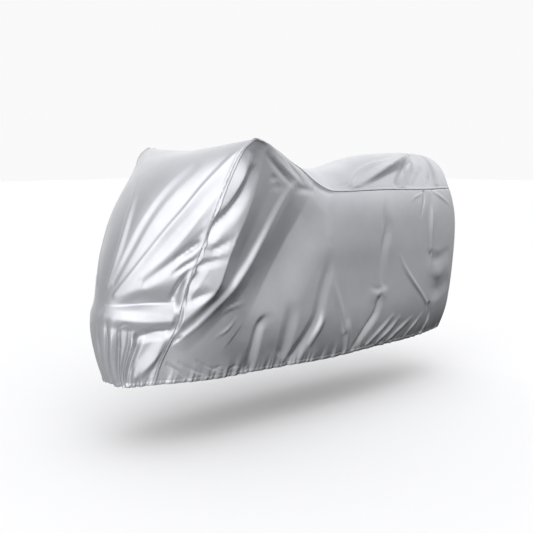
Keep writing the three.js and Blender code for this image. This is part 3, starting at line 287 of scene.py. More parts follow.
RIGHT_FOLDS = [
    # band and hollows beside the front seam
    [[[11.5, 0.14], [11.5, 0.22], [11.35, 0.3]], [40, 30], [5, 18, 5], 0.5, -0.1],
    [[[12.0, 0.24], [11.8, 0.32], [11.4, 0.38], [11.05, 0.42]], [34, 26], [-4, -16, -10], 0.4, 0.3],
    [[[11.9, 0.46], [11.4, 0.47], [11.05, 0.46]], [18, 16], [-3, -10, -8], 0.4, 0],
    [[[11.6, 0.53], [11.3, 0.56], [11.05, 0.58]], [18, 16], [-3, -9, -7], 0.4, 0],
    # crests and the trough behind them
    [[[12.0, 0.15], [12.3, 0.27], [12.3, 0.38], [12.1, 0.5], [11.9, 0.58], [11.5, 0.66], [11.05, 0.72]],
     [130, 90], [10, 32, 15], 0.75, -0.3],
    [[[14.9, 0.18], [14.4, 0.3], [13.9, 0.44], [13.2, 0.58], [12.4, 0.69], [11.5, 0.79]],
     [66, 56], [4, 24, 10], 0.6, 0.2],
    [[[15.6, 0.14], [15.4, 0.3], [15.0, 0.44], [14.4, 0.58], [13.7, 0.7]],
     [165, 145], [-12, -18, -5], 0.3, 0.6],
    [[[12.4, 0.13], [13.6, 0.16], [14.9, 0.18]], [14, 12], [-3, -7, -3], 0.5, 0],
    [[[12.9, 0.08], [14.2, 0.12], [15.3, 0.14]], [13, 12], [2, 7, 2], 0.5, 0],
    [[[13.0, 0.74], [13.4, 0.7], [14.0, 0.66]], [10, 9], [2, 5, 1], 0.6, 0],
    # long slack folds of the middle
    [[[15.1, 0.68], [14.6, 0.71], [14.5, 0.8], [14.7, 0.96]], [28, 32], [-3, -14, -9], 0.6, 0.5],
    [[[16.3, 0.5], [16.5, 0.68], [16.2, 0.92]], [44, 36], [-2, -10, -8], 0.3, 0.2],
    [[[17.4, 0.3], [17.7, 0.45], [17.7, 0.62], [17.4, 0.78], [17.5, 0.95]],
     [30, 34], [-2, -12, -10], 0.5, 0.4],
    [[[18.0, 0.1], [18.1, 0.3], [18.6, 0.5], [19.0, 0.7], [19.2, 0.88]], [30, 26], [1, 7, 5], 0.3, 0],
    [[[19.6, 0.6], [19.8, 0.75], [20.2, 0.95]], [34, 28], [-3, -11, -8], 0.5, 0],
    [[[21.0, 0.05], [20.8, 0.22], [20.9, 0.4], [21.2, 0.55]], [34, 28], [-3, -11, -4], 0.5, 0.4],
    # rear wheel and tail
    [[[21.6, 0.62], [21.3, 0.76], [20.8, 0.95]], [34, 24], [-7, -15, -7], 0.5, 0.3],
    [[[22.2, 0.45], [22.8, 0.58], [23.6, 0.74]], [20, 16], [2, 8, 4], 0.8, 0],
    [[[22.3, 0.8], [21.8, 0.88], [21.4, 0.97]], [18, 13], [2, 8, 4], 0.5, 0],
    [[[23.0, 0.83], [22.5, 0.9], [22.1, 0.98]], [18, 13], [2, 8, 4], 0.5, 0],
    [[[23.9, 0.84], [23.4, 0.91], [23.1, 0.98]], [18, 12], [2, 7, 4], 0.5, 0],
    [[[22.8, 0.02], [22.7, 0.12], [22.8, 0.22]], [16, 12], [-5, -7, -2], 0.5, 0],
    [[[23.1, 0.04], [23.3, 0.2], [23.8, 0.42]], [80, 70], [8, 15, 8], 0.7, 0.5],
    [[[24.8, 0.6], [24.4, 0.78], [24.6, 0.97]], [44, 32], [-5, -12, -7], 0.3, 0],
    [[[26.2, 0.1], [26.6, 0.4], [26.3, 0.8]], [44, 40], [-4, -10, -6], 0.3, 0],
    [[[27.9, 0.25], [27.7, 0.5], [28.1, 0.85]], [34, 32], [2, 8, 6], 0.3, 0],
]

# Gathers that the elastic makes along the hem: wave length, height and how far up they die away.
# The coarse ones shape the cloth, and the fine ones crimp the channel
GATHERS = {
    "centre": [[33, 2.6, 30], [14, 1.5, 24]],
    "left": [[62, 2.4, 50], [27, 1.6, 34], [13, 1.1, 18]],
    "right": [[67, 2.4, 55], [29, 1.6, 36], [14, 1.1, 19]],
}
HEM_LENGTH = {"centre": 195, "left": STATION_SPACING, "right": STATION_SPACING}

# How the lengths and heights of gathers and puckers vary along an edge
UNEVEN = {"bend": 1.1, "bendRate": 0.37, "fade": 0.3, "fadeRate": 0.23}

# Slackness: height of each wave, and how far along X and Z one radian of it reaches
SLACK_WAVES = [[2.2, 97, 210], [1.6, -160, 83]]
SLACK_SHIFT = {"centre": 0, "left": 0, "right": 1.7}

# Puckers that the sewing draws in across a seam: wave length, height, and reach to each side.
# Their strength along the seam is [row, strength]
PUCKER = {"wave": 15, "height": 0.9, "reach": 15, "rowLength": 95}
PUCKER_STRENGTH = [
    [0, 0.4], [2, 0.5], [4, 0.8], [5, 1.2], [8.2, 1.4], [9, 0.6], [11, 0.3],
    [14, 0.3], [17, 0.7], [19, 0.5], [22, 0.9], [24, 0.6], [27, 0.9], [29, 0.6],
]

# Small steps over a panel, for finding which way its cloth faces
FACING_STEP = {"u": 0.02, "v": 0.004}

# Mesh size of each panel, and where it is finer: [place, reach, how much]
SPACING_SAMPLES = 4000
MESH = {
    "centre": {
        "u": {"count": 306, "dense": [[0, 0.12, 4], [27, 0.06, 3], [3.4, 1.6, 0.5]]},
        "v": {"count": 160, "dense": [[-1, 0.05, 3], [1, 0.05, 3], [-0.7, 0.35, 0.3]]},
    },
    "left": {
        "u": {"count": 420, "dense": [[11, 0.1, 2], [29, 0.1, 2], [11, 3.5, 0.5]]},
        "v": {"count": 116, "dense": [[0, 0.02, 3], [1, 0.02, 3], [1, 0.15, 0.5]]},
    },
    "right": {
        "u": {"count": 420, "dense": [[11, 0.1, 2], [29, 0.1, 2], [11, 3.5, 0.5]]},
        "v": {"count": 116, "dense": [[0, 0.02, 3], [1, 0.02, 3], [1, 0.15, 0.5]]},
    },
}


def smooth(t):
    t = np.clip(t, 0, 1)
    return t * t * (3 - 2 * t)


def lerp(a, b, t):
    return a + (b - a) * t


def unit(vectors):
    return vectors / np.maximum(np.linalg.norm(vectors, axis=-1, keepdims=True), TINY)


def through(rows, at):
    """Catmull-Rom through rows of numbers, at row numbers that needn't be whole."""
    rows = np.asarray(rows, float)
    last = len(rows) - 1
    at = np.clip(at, 0, last)
    i = np.minimum(at.astype(int), last - 1)
    f = (at - i)[..., None]
    b, c = rows[i], rows[i + 1]
    a = np.where((i > 0)[..., None], rows[np.maximum(i - 1, 0)], 2 * b - c)
    d = np.where((i < last - 1)[..., None], rows[np.minimum(i + 2, last)], 2 * c - b)
    square = 2 * a - 5 * b + 4 * c - d
    cube = 3 * b - a - 3 * c + d
    return 0.5 * (2 * b + (c - a) * f + square * f ** 2 + cube * f ** 3)


def section(columns, rows, at):
    values = through(rows, at)
    return {name: values[..., k] for k, name in enumerate(columns)}


def centre_point(row, across):
    """The centre panel before folding; across runs from -1 at the left seam to 1 at the right one."""
    s = section(CENTRE_COLUMNS, CENTRE_ROWS, row)
    turn = np.abs(across) ** s["round"]
    near_hem = np.clip(1 - row / HEM_DIP["rows"], 0, 1) ** 2
    dip = HEM_DIP["depth"] * near_hem * np.sin(np.pi * np.abs(across))
    x = lerp(s["middleX"], s["seamX"], turn)
    z = lerp(s["middleZ"], s["seamZ"], turn) - s["lean"] * across - dip
    return np.stack([x, s["middleY"] + s["half"] * across, z], -1)


def side_point(row, down, side):
    """A side panel before folding; down runs from 0 at its top seam to 1 at its hem."""
    on_tail = np.clip((row - TAIL_ROW) / (BACK_ROW - TAIL_ROW), 0, 1)
    top = centre_point(np.minimum(row, TAIL_ROW), side * (1 - on_tail))
    s = section(SIDE_COLUMNS, SIDE_ROWS, row - BAR_ROW)
    hem = np.stack([s["hemX"], side * s["hemHalf"], s["hemZ"]], -1)
    ends = np.array([float(BAR_ROW), 0.0])
    bar, front_hem = centre_point(ends, np.full(2, float(side)))
    straight = lerp(bar, front_hem, down[..., None])
    bend = centre_point(BAR_ROW * (1 - down), np.full_like(down, side)) - straight
    fade = (BACK_ROW - row) / (BACK_ROW - BAR_ROW)
    point = lerp(top, hem, down[..., None]) + bend * (fade ** BEND_FADE)[..., None]
    away = point * [1, 1, 0]
    away[..., 0] -= np.clip(point[..., 0], CORE["front"], CORE["back"])
    swell = s["swell"] * (1 - (2 * down - 1) ** SWELL_POWER)
    return point + unit(away) * swell[..., None]


def outward(point):
    """Direction away from the plane that stands for what the cover hides."""
    heights = [CORE["frontLow"], CORE["frontHigh"]]
    front = np.interp(point[..., 2], heights, [CORE["front"], CORE["topFront"]])
    x = np.clip(point[..., 0], front, CORE["back"])
    top = np.interp(x, *zip(*CORE_TOP))
    z = np.clip(point[..., 2], CORE["low"], top)
    return unit(point - np.stack([x, np.zeros_like(x), z], -1))


# Each panel's place in space before folding, its limits and its folds
PANELS = {
    "centre": {
        "at": centre_point,
        "u": (0, TAIL_ROW), "v": (-1, 1),
        "folds": CENTRE_FOLDS,
    },
    "left": {
        "at": lambda row, down: side_point(row, down, SIDES["left"]),
        "u": (BAR_ROW, BACK_ROW), "v": (0, 1),
        "folds": LEFT_FOLDS,
    },
    "right": {
        "at": lambda row, down: side_point(row, down, SIDES["right"]),
        "u": (BAR_ROW, BACK_ROW), "v": (0, 1),
        "folds": RIGHT_FOLDS,
    },
}


def steps_round(name, u, v, axis):
    """The panel's point a small step before and after (u, v) along one axis, and the step's length."""
    place = {"u": u, "v": v}
    low, high = (np.clip(place[axis] + s * FACING_STEP[axis], *PANELS[name][axis]) for s in (-1, 1))
    at = PANELS[name]["at"]
    before, after = (at(t, v) if axis == "u" else at(u, t) for t in (low, high))
    return before, after, high - low


def face_normal(name, u, v):
    (u0, u1, _), (v0, v1, _) = (steps_round(name, u, v, axis) for axis in "uv")
    normal = unit(np.cross(u1 - u0, v1 - v0))
    facing = (normal * outward(PANELS[name]["at"](u, v))).sum(-1, keepdims=True)
    return np.where(facing < 0, -normal, normal)


def stretch(name, u, v, axis):
    """Millimetres of cloth for one unit of u or v."""
    before, after, step = steps_round(name, u, v, axis)
    return np.linalg.norm(after - before, axis=-1) / step


def nearest_on_line(place, line, normals):
    """Distance from each place to a line of short steps, how far along it that is, and on which side."""
    distance = np.full(len(place), np.inf)
    at = np.zeros(len(place))
    side = np.ones(len(place))
    for i in range(FOLD_STEPS):
        step = line[i + 1] - line[i]
        to = place - line[i]
        f = np.clip(to @ step / (step @ step), 0, 1)
        off = to - f[:, None] * step
        length = np.linalg.norm(off, axis=1)
        closer = length < distance
        distance[closer] = length[closer]
        at[closer] = (i + f[closer]) / FOLD_STEPS
        side[closer] = np.sign(off[closer] @ np.cross(step, normals[i]))
    return distance, at, side


def fold_height(name, row, point):
    """Height of one fold at each point, from the point's distance to the fold's line."""
    path, width, (start, middle, end), crisp, skew = row
    u, v = through(path, np.linspace(0, len(path) - 1, FOLD_STEPS + 1)).T
    line = PANELS[name]["at"](u, v)
    reach = max(width) * (1 + abs(skew))
    near = np.all((point > line.min(0) - reach) & (point < line.max(0) + reach), axis=-1)
    distance, at, side = nearest_on_line(point[near], line, face_normal(name, u, v))
    t = np.minimum(distance / (lerp(*width, at) * (1 + skew * side)), 1)
    first = lerp(start, middle, smooth(at * 2))
    second = lerp(middle, end, smooth(at * 2 - 1))
    height = np.zeros(point.shape[:-1])
    height[near] = np.where(at < 0.5, first, second) * lerp((1 - t * t) ** 2, (1 - t) ** 2, crisp)
    return height


def uneven_wave(along):
    """Waves of uneven length and height; one turn is two pi."""
    shifted = along + UNEVEN["bend"] * np.sin(along * UNEVEN["bendRate"])
    return np.sin(shifted) * (1 - UNEVEN["fade"] + UNEVEN["fade"] * np.sin(along * UNEVEN["fadeRate"]))


def gather(name, u, v):
    along, above = (v, u * FRONT_ROW_SPACING) if name == "centre" else (u - BAR_ROW, (1 - v) * PANEL_DROP)
    turn = along * HEM_LENGTH[name] * 2 * np.pi
    return sum(
        h * uneven_wave(turn / wave) * np.exp(-((above / rise) ** 2)) for wave, h, rise in GATHERS[name]
    )


def slack(name, point):
    shift = SLACK_SHIFT[name]
    return sum(h * np.sin(point[..., 0] / x + point[..., 2] / z + shift) for h, x, z in SLACK_WAVES)


def looseness(name, u, v):
    """Folds die away at a seam, which is stiffer than the cloth; the hem stays free."""
    if name == "centre":
        half = section(CENTRE_COLUMNS, CENTRE_ROWS, u)["half"]
        distances = [(1 - np.abs(v)) * half, (TAIL_ROW - u) * ROW_SPACING]
    else:
        distances = [v * PANEL_DROP, (u - BAR_ROW) * STATION_SPACING, (BACK_ROW - u) * ROW_SPACING]
    return math.prod(smooth(d / SEAM_STIFFNESS) for d in distances)


def to_edges(name, u, v):
    """Millimetres to each edge of the panel, true near that edge."""
    first, last = (np.full_like(u, limit) for limit in PANELS[name]["u"])
    low, high = (np.full_like(v, limit) for limit in PANELS[name]["v"])
    return {
        "first": (u - first) * stretch(name, first, v, "u"),
        "last": (last - u) * stretch(name, last, v, "u"),
        "low": (v - low) * stretch(name, u, low, "v"),
        "high": (high - v) * stretch(name, u, high, "v"),
    }


def lapped_edge(distance):
    """The cloth that lies on top at a seam, folded under at its edge."""
    past = distance - SEAM_LIP["width"]
    return SEAM_LIP["height"] * (1 - smooth(past / SEAM_LIP["step"]))


def groove(distance, depth, width):
    return -depth * np.exp(-((distance / width) ** 2))


def seam_groove(distance):
    return groove(distance, SEAM_GROOVE["depth"], SEAM_GROOVE["width"])


def pucker(along, distance):
    """Short waves across a seam; along is the seam's row number."""
    strength = np.interp(along, *zip(*PUCKER_STRENGTH))
    wave = uneven_wave(along * PUCKER["rowLength"] * 2 * np.pi / PUCKER["wave"])
    return PUCKER["height"] * strength * wave * np.exp(-((distance / PUCKER["reach"]) ** 2))


def hem_channel(distance):
    """The hem is folded over an elastic cord and stitched."""
    width, stitched = HEM_CHANNEL["width"], HEM_CHANNEL["stitched"]
    bulge = HEM_CHANNEL["bulge"] * np.sin(np.pi * np.clip(distance / width, 0, 1))
    return bulge + groove(distance - width, HEM_CHANNEL["groove"], stitched)


def centre_sewing(u, edge):
    """The centre panel lies under the side panels at the front seams, and on top along the seat and
    the tail."""
    seam = np.minimum(edge["low"], edge["high"])
    on_top = smooth(u - BAR_ROW + LAP_CHANGE)
    relief = lerp(seam_groove(seam), lapped_edge(seam), on_top) + pucker(u, seam)
    relief += np.where(u > BAR_ROW, np.maximum(lapped_edge(edge["last"]) - relief, 0), 0)
    return relief + hem_channel(edge["first"])


def side_sewing(name, u, v, edge):
    """A side panel lies on top at the front seam, and the left one also at the back."""
    front = lapped_edge(edge["first"]) * smooth(v * BAR_ROW - LAP_CHANGE)
    back = lapped_edge(edge["last"]) if name == "left" else seam_groove(edge["last"])
    puckers = pucker(BAR_ROW * (1 - v), edge["first"]) + pucker(u, edge["low"])
    return front + seam_groove(edge["low"]) + back + puckers + hem_channel(edge["high"])


def sewing(name, u, v):
    """Relief of a panel's seams and hem."""
    edge = to_edges(name, u, v)
    return centre_sewing(u, edge) if name == "centre" else side_sewing(name, u, v, edge)


def cloth_point(name, u, v):
    point = PANELS[name]["at"](u, v)
    height = sum(fold_height(name, row, point) for row in PANELS[name]["folds"])
    height = (height + gather(name, u, v) + slack(name, point)) * looseness(name, u, v)
    height += sewing(name, u, v)
    return point + face_normal(name, u, v) * height[..., None]


def spaced(limits, count, dense):
    """Values from one limit to the other, closer together near each dense place."""
    x = np.linspace(*limits, SPACING_SAMPLES)
    density = 1 + sum(extra * np.exp(-np.abs(x - place) / reach) for place, reach, extra in dense)
    total = np.concatenate([[0], np.cumsum((density[1:] + density[:-1]) / 2)])
    return np.interp(np.linspace(0, total[-1], count), total, x)


def grid_normals(points):
    normal = unit(np.cross(np.gradient(points, axis=0), np.gradient(points, axis=1)))
    return normal if (normal * outward(points)).sum() > 0 else -normal


def grid_faces(rows, columns, count):
    """Quads over a grid of vertices, the same on its inner side, and the wall round its edge."""
    index = np.arange(rows * columns).reshape(rows, columns)
    face = np.stack([index[:-1, :-1], index[:-1, 1:], index[1:, 1:], index[1:, :-1]], -1).reshape(-1, 4)
    rim = np.concatenate([index[0, :-1], index[:-1, -1], index[-1, :0:-1], index[:0:-1, 0]])
    after = np.roll(rim, -1)
    wall = np.stack([after, rim, rim + count, after + count], -1)
    return face, face[:, ::-1] + count, wall


def add_object(name, data):
    piece = bpy.data.objects.new(name, data)
    bpy.context.scene.collection.objects.link(piece)
    return piece


def thin_body(name, outer, thickness, outside, inside):
    """A closed thin sheet with that outer face and a material for each side. Its uv are lengths of
    cloth, in metres."""
    rows, columns = outer.shape[:2]
    inner = outer - grid_normals(outer) * thickness
    vertices = np.concatenate([outer.reshape(-1, 3), inner.reshape(-1, 3)]) - [0, 0, SUPPORT_HEIGHT]
    face, back, wall = grid_faces(rows, columns, rows * columns)
    corners = outer.reshape(-1, 3)[face[0]]
    turned = np.cross(corners[1] - corners[0], corners[3] - corners[0]) @ outward(corners[0]) < 0
    faces = np.concatenate([face, back, wall])
    if turned:
        faces = faces[:, ::-1]
    mesh = bpy.data.meshes.new(name)
    mesh.from_pydata(vertices * MILLIMETRE, [], faces)
    kinds = np.repeat([0, 1, 0], [len(face), len(back), len(wall)])
    mesh.polygons.foreach_set("material_index", kinds.astype(np.int32))
    mesh.polygons.foreach_set("use_smooth", np.arange(len(faces)) < len(face) + len(back))
    layer = mesh.uv_layers.new(name="cloth")
    uv = cloth_uv(outer).reshape(-1, 2)
    flat = np.concatenate([uv, uv]) * MILLIMETRE
    layer.data.foreach_set("uv", flat[faces.reshape(-1)].reshape(-1))
    mesh.update()
    mesh.materials.append(outside)
    mesh.materials.append(inside)
    return add_object(name, mesh)


def cloth_uv(points):
    """Lengths measured over the cloth from its middle, both ways."""
    rows, columns = points.shape[:2]
    along = np.linalg.norm(np.diff(points[:, columns // 2], axis=0), axis=1)
    across = np.linalg.norm(np.diff(points, axis=1), axis=2)
    u = np.concatenate([[0], np.cumsum(along)])[:, None] + np.zeros((1, columns))
    v = np.concatenate([np.zeros((rows, 1)), np.cumsum(across, axis=1)], axis=1)
    return np.stack([u, v - v[:, columns // 2: columns // 2 + 1]], -1)


def panel(name, outside, inside):
    u = spaced(PANELS[name]["u"], **MESH[name]["u"])
    v = spaced(PANELS[name]["v"], **MESH[name]["v"])
    points = cloth_point(name, *np.meshgrid(u, v, indexing="ij"))
    return thin_body(f"{name}_cloth", points, CLOTH, outside, inside)


def seam_places(side):
    """The seam round one side, from the front hem over the bar's end to the middle of the tail, as
    places on the centre panel and on the side panel."""
    steps, tail_steps = ALLOWANCE["steps"], ALLOWANCE["tailSteps"]
    row = np.concatenate([np.linspace(0, TAIL_ROW, steps), np.full(tail_steps, float(TAIL_ROW))])
    across = np.concatenate([np.ones(steps), np.linspace(1, 0, tail_steps + 1)[1:]])
    past = (1 - across) * (BACK_ROW - TAIL_ROW)
    u = np.maximum(row + past, BAR_ROW)
    v = np.clip(1 - row / BAR_ROW, 0, 1)
    return row, across * side, u, v


def in_from_seam(name, side, row, across, u, v, inset):
    """The places at that distance in from a seam on the centre panel, and on the side panel."""
    step_v = inset / stretch("centre", row, np.full_like(row, side), "v")
    step_u = inset / stretch("centre", np.full_like(row, TAIL_ROW), across, "u")
    on_tail = row >= TAIL_ROW
    centre = (np.where(on_tail, row - step_u, row), np.where(on_tail, across, across - side * step_v))
    step_u = inset / stretch(name, np.full_like(u, BAR_ROW), v, "u")
    step_v = inset / stretch(name, u, np.zeros_like(u), "v")
    on_front = row < BAR_ROW
    return centre, (np.where(on_front, u + step_u, u), np.where(on_front, v, v + step_v))


def seam_allowance(name, side, material):
    """The folded edges of both panels, inside behind a seam, which close it."""
    row, across, u, v = seam_places(side)
    insets = [in_from_seam(name, side, row, across, u, v, inset) for inset in ALLOWANCE["inset"]]
    lines = [("centre", *centre) for centre, _ in insets]
    lines += [(name, u, v)] + [(name, *beside) for _, beside in reversed(insets)]
    below = CLOTH + ALLOWANCE["below"]
    grid = np.stack([cloth_point(*line) - face_normal(*line) * below for line in lines], 1)
    return thin_body(f"{name}_seam_allowance", grid, ALLOWANCE["thickness"], material, material)


def beside(name, u, v, axis, distance):
    """A line's places moved over the cloth by that many millimetres."""
    step = distance / stretch(name, u, v, axis)
    return (u + step, v) if axis == "u" else (u, v + step)


def sewn_lines(name):
    """Where a panel is stitched through: along the seams where it lies on top, and along its hem."""
    (u0, u1), (v0, v1) = PANELS[name]["u"], PANELS[name]["v"]
    t = np.linspace(0, 1, SEWN_LINE["steps"])
    us, vs = lerp(float(u0), u1, t), lerp(float(v0), v1, t)
    first, last, low, high = (np.full_like(t, limit) for limit in (u0, u1, v0, v1))
    inset, hem = STITCH["inset"], HEM_CHANNEL["width"]
    if name == "centre":
        seat = lerp(BAR_ROW + SEWN_LINE["pastBar"], u1, t)
        return [
            beside(name, seat, low, "v", inset),
            beside(name, seat, high, "v", -inset),
            beside(name, last, vs * SEWN_LINE["tailReach"], "u", -inset),
            beside(name, first, vs, "u", hem),
        ]
    lines = [beside(name, first, vs, "u", inset), beside(name, us, high, "v", -hem)]
    if name == "left":
        lines.append(beside(name, last, vs, "u", -inset))
    return lines


def stitch_form():
    """One stitch along X, as points, and its faces."""
    sides = STITCH["sides"]
    turns = np.arange(sides) * 2 * np.pi / sides
    form = [[place, share * np.cos(a), share * np.sin(a)] for place, share in STITCH_RINGS for a in turns]
    faces = []
    for ring in range(len(STITCH_RINGS) - 1):
        for k in range(sides):
            a, b = ring * sides + k, ring * sides + (k + 1) % sides
            faces.append([a, b, b + sides, a + sides])
    faces.append(list(range(sides))[::-1])
    faces.append(list(range(len(form) - sides, len(form))))
    return np.array(form), faces


def stitches(name, material):
    """All the thread that shows on a panel, as one piece."""
    form, faces = stitch_form()
    size = np.array([STITCH["length"], STITCH["radius"], STITCH["radius"]])
    vertices, polygons = [], []
    for u, v in sewn_lines(name):
        points, normals = cloth_point(name, u, v), face_normal(name, u, v)
        length = np.concatenate([[0], np.cumsum(np.linalg.norm(np.diff(points, axis=0), axis=1))])
        for at in np.arange(STITCH["pitch"], length[-1] - STITCH["pitch"], STITCH["pitch"]):
            ends = [at - STITCH["length"] / 2, at + STITCH["length"] / 2]
            before, after = (np.array([np.interp(e, length, points[:, k]) for k in range(3)]) for e in ends)
            normal = np.array([np.interp(at, length, normals[:, k]) for k in range(3)])
            along = unit(after - before)
            across = unit(np.cross(normal, along))
            axes = np.stack([along, across, np.cross(along, across)])
            start = len(vertices) * len(form)
            vertices.append((before + after) / 2 + (form * size) @ axes)
            polygons += [[start + k for k in face] for face in faces]
    mesh = bpy.data.meshes.new(f"{name}_stitches")
    mesh.from_pydata((np.concatenate(vertices) - [0, 0, SUPPORT_HEIGHT]) * MILLIMETRE, [], polygons)
    mesh.polygons.foreach_set("use_smooth", np.ones(len(polygons), bool))
    mesh.materials.append(material)
    return add_object(f"{name}_stitches", mesh)


# Materials, in metres. A noise is [scale, detail], and a range runs from its lows to its highs
NOISE_RANGE = {"From Min": 0.3, "From Max": 0.7}
THREAD_WIDTH = 0.0008
ONE_WAVE = 0.314
WEAVE_STRENGTH = 0.6
SILVER = {
    "tones": [(0.55, 0.56, 0.59, 1), (0.6, 0.61, 0.64, 1)], "toneNoise": [6, 3],
    "roughness": [0.35, 0.42], "roughNoise": [23, 4],
    "crumple": {"Distance": 0.0012, "Strength": 0.25}, "crumpleNoise": [38, 3],
    "metallic": 0.9, "weaveDepth": 0.00005,
}
BACKING = {"tones": [0.36, 0.42], "toneNoise": [9, 2], "roughness": 0.8, "weaveDepth": 0.00008}
SEWING_THREAD = {"tones": [0.45, 0.6], "toneNoise": [200, 2], "roughness": 0.6}

# A colour mix node's sockets
MIX_LOW, MIX_HIGH, MIX_RESULT = 6, 7, 2


def new_material(name):
    material = bpy.data.materials.new(name)
    material.use_nodes = True
    return material, material.node_tree, material.node_tree.nodes["Principled BSDF"]


def add_node(tree, kind, links=(), **values):
    """A node with its settings and constant inputs, and (output, input) links into it."""
    node = tree.nodes.new(kind)
    for key, value in values.items():
        if key in node.inputs:
            node.inputs[key].default_value = value
        else:
            setattr(node, key, value)
    for source, target in links:
        tree.links.new(source, node.inputs[target])
    return node


def weave_bump(tree, depth):
    """Plain weave: two crossing sets of threads along the cloth's own directions."""
    uv = add_node(tree, "ShaderNodeUVMap", uv_map="cloth")
    size = add_node(tree, "ShaderNodeMapping", [(uv.outputs[0], "Vector")], Scale=(1 / THREAD_WIDTH,) * 3)
    links = [(size.outputs[0], "Vector")]
    sets = []
    for axis in "XY":
        wave = add_node(tree, "ShaderNodeTexWave", links, bands_direction=axis, Scale=ONE_WAVE)
        sets.append(wave.outputs["Fac"])
    both = add_node(tree, "ShaderNodeMath", [(sets[0], 0), (sets[1], 1)], operation="MULTIPLY")
    links = [(both.outputs[0], "Height")]
    return add_node(tree, "ShaderNodeBump", links, Distance=depth, Strength=WEAVE_STRENGTH)


def noise(tree, scale, detail):
    place = add_node(tree, "ShaderNodeTexCoord")
    links = [(place.outputs["Object"], "Vector")]
    return add_node(tree, "ShaderNodeTexNoise", links, Scale=scale, Detail=detail).outputs["Fac"]


def spread(tree, source, low, high):
    """A noise's middle range as values from low to high."""
    values = {**NOISE_RANGE, "To Min": low, "To Max": high}
    return add_node(tree, "ShaderNodeMapRange", [(source, "Value")], **values).outputs[0]


def silver_cloth():
    """Polyester with an aluminium pigment coating: satin, slightly uneven, with its weave showing through."""
    material, tree, shader = new_material("silver_cloth")
    tone = spread(tree, noise(tree, *SILVER["toneNoise"]), 0, 1)
    colour = add_node(tree, "ShaderNodeMix", [(tone, "Factor")], data_type="RGBA")
    for socket, value in zip((MIX_LOW, MIX_HIGH), SILVER["tones"]):
        colour.inputs[socket].default_value = value
    tree.links.new(colour.outputs[MIX_RESULT], shader.inputs["Base Color"])
    rough = spread(tree, noise(tree, *SILVER["roughNoise"]), *SILVER["roughness"])
    tree.links.new(rough, shader.inputs["Roughness"])
    links = [(noise(tree, *SILVER["crumpleNoise"]), "Height")]
    crumple = add_node(tree, "ShaderNodeBump", links, **SILVER["crumple"])
    weave = weave_bump(tree, SILVER["weaveDepth"])
    tree.links.new(crumple.outputs[0], weave.inputs["Normal"])
    tree.links.new(weave.outputs[0], shader.inputs["Normal"])
    shader.inputs["Metallic"].default_value = SILVER["metallic"]
    return material


def grey_material(name, look):
    material, tree, shader = new_material(name)
    tone = spread(tree, noise(tree, *look["toneNoise"]), *look["tones"])
    tree.links.new(tone, shader.inputs["Base Color"])
    shader.inputs["Roughness"].default_value = look["roughness"]
    return material, tree, shader


def backing_cloth():
    """The uncoated inner face."""
    material, tree, shader = grey_material("cloth_backing", BACKING)
    weave = weave_bump(tree, BACKING["weaveDepth"])
    tree.links.new(weave.outputs[0], shader.inputs["Normal"])
    return material


def thread():
    return grey_material("grey_thread", SEWING_THREAD)[0]


# Studio. Directions are seen from the cover: azimuth 0 is towards -Y, 90 towards +X and -90 towards -X
CAMERA = {"place": (-2.890, -2.880, 0.076), "azimuth": -43.4, "elevation": 7.2, "lens": 61.26, "sensor": 36}
FLOOR = {"size": 60, "colour": (0.85, 0.85, 0.86, 1), "roughness": 0.9}
TOP_LIGHT = {"azimuth": -20, "elevation": 80, "distance": 4.5, "size": 4.0, "watts": 12}
LIT_MIDDLE = (0, 0, -0.35)

# An even sky with soft patches, brighter or darker, round each direction, and the plain backdrop
# that the camera sees in its place
SKY = 0.54
SKY_PATCHES = [
    {"azimuth": -44, "elevation": 23, "reach": 62, "strength": 1.4},
    {"azimuth": 145, "elevation": 30, "reach": 70, "strength": 0.55},
    {"azimuth": 135, "elevation": 12, "reach": 36, "strength": 0.25},
    {"azimuth": 75, "elevation": 14, "reach": 46, "strength": 0.65},
    {"azimuth": -50, "elevation": 72, "reach": 46, "strength": 0.55},
    {"azimuth": 84, "elevation": -24, "reach": 58, "strength": -0.6},
]
BACKDROP = 0.95


def direction(azimuth, elevation):
    a, e = math.radians(azimuth), math.radians(elevation)
    return Vector((math.sin(a) * math.cos(e), -math.cos(a) * math.cos(e), math.sin(e)))


def top_light():
    data = bpy.data.lights.new("top", "AREA")
    data.shape, data.size, data.energy = "DISK", TOP_LIGHT["size"], TOP_LIGHT["watts"]
    light = add_object("top", data)
    towards = direction(TOP_LIGHT["azimuth"], TOP_LIGHT["elevation"])
    light.location = Vector(LIT_MIDDLE) + towards * TOP_LIGHT["distance"]
    light.rotation_euler = towards.to_track_quat("Z", "Y").to_euler()
    light.visible_camera = False


def floor():
    mesh = bpy.data.meshes.new("floor")
    half, height = FLOOR["size"] / 2, -SUPPORT_HEIGHT * MILLIMETRE
    corners = [(x * half, y * half, height) for x, y in ((-1, -1), (1, -1), (1, 1), (-1, 1))]
    mesh.from_pydata(corners, [], [(0, 1, 2, 3)])
    ground = add_object("floor", mesh)
    material, _, shader = new_material("floor_paint")
    shader.inputs["Base Color"].default_value = FLOOR["colour"]
    shader.inputs["Roughness"].default_value = FLOOR["roughness"]
    mesh.materials.append(material)
    ground.visible_glossy = ground.visible_diffuse = False


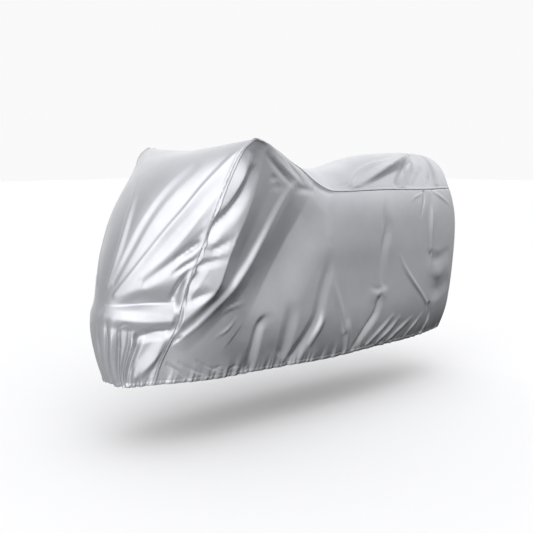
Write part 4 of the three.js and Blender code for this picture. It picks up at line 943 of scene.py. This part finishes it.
def sky_patch(tree, place, azimuth, elevation, reach, strength):
    """How much a patch adds to the sky in each direction."""
    looked = [(place.outputs["Generated"], 0)]
    closeness = add_node(tree, "ShaderNodeVectorMath", looked, operation="DOT_PRODUCT")
    closeness.inputs[1].default_value = direction(azimuth, elevation)
    links = [(closeness.outputs["Value"], "Value")]
    values = {"From Min": math.cos(math.radians(reach)), "From Max": 1, "To Max": strength}
    added = add_node(tree, "ShaderNodeMapRange", links, interpolation_type="SMOOTHSTEP", **values)
    return added.outputs[0]


def sky():
    world = bpy.data.worlds.new("studio")
    world.use_nodes = True
    tree = world.node_tree
    place = add_node(tree, "ShaderNodeTexCoord")
    total = add_node(tree, "ShaderNodeValue")
    total.outputs[0].default_value = SKY
    for patch in SKY_PATCHES:
        added = sky_patch(tree, place, **patch)
        total = add_node(tree, "ShaderNodeMath", [(total.outputs[0], 0), (added, 1)])
    seen = add_node(tree, "ShaderNodeLightPath")
    links = [(seen.outputs["Is Camera Ray"], "Factor"), (total.outputs[0], "A")]
    shown = add_node(tree, "ShaderNodeMix", links, B=BACKDROP)
    background = tree.nodes["Background"]
    background.inputs["Color"].default_value = (1, 1, 1, 1)
    tree.links.new(shown.outputs[0], background.inputs["Strength"])
    bpy.context.scene.world = world


def studio():
    floor()
    sky()
    top_light()
    bpy.context.scene.view_settings.view_transform = "Standard"


def camera():
    data = bpy.data.cameras.new("camera")
    data.sensor_width, data.lens = CAMERA["sensor"], CAMERA["lens"]
    holder = add_object("camera", data)
    back = direction(CAMERA["azimuth"], CAMERA["elevation"])
    holder.location = CAMERA["place"]
    holder.rotation_euler = back.to_track_quat("Z", "Y").to_euler()
    bpy.context.scene.camera = holder


# The part of the model that each panel stands in for, which is hidden once the panel is made
NODES = {"centre": "centre_panel", "left": "left_side_panel", "right": "right_side_panel"}


def cover():
    silver, backing, sewing_thread = silver_cloth(), backing_cloth(), thread()
    allowances = {name: seam_allowance(name, side, silver) for name, side in SIDES.items()}
    for name, node in NODES.items():
        cloth = panel(name, silver, backing)
        on_it = [stitches(name, sewing_thread)]
        if name in allowances:
            on_it.append(allowances[name])
        for piece in [cloth, *on_it]:
            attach(piece, "root")
        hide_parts(node)


camera()
studio()
cover()
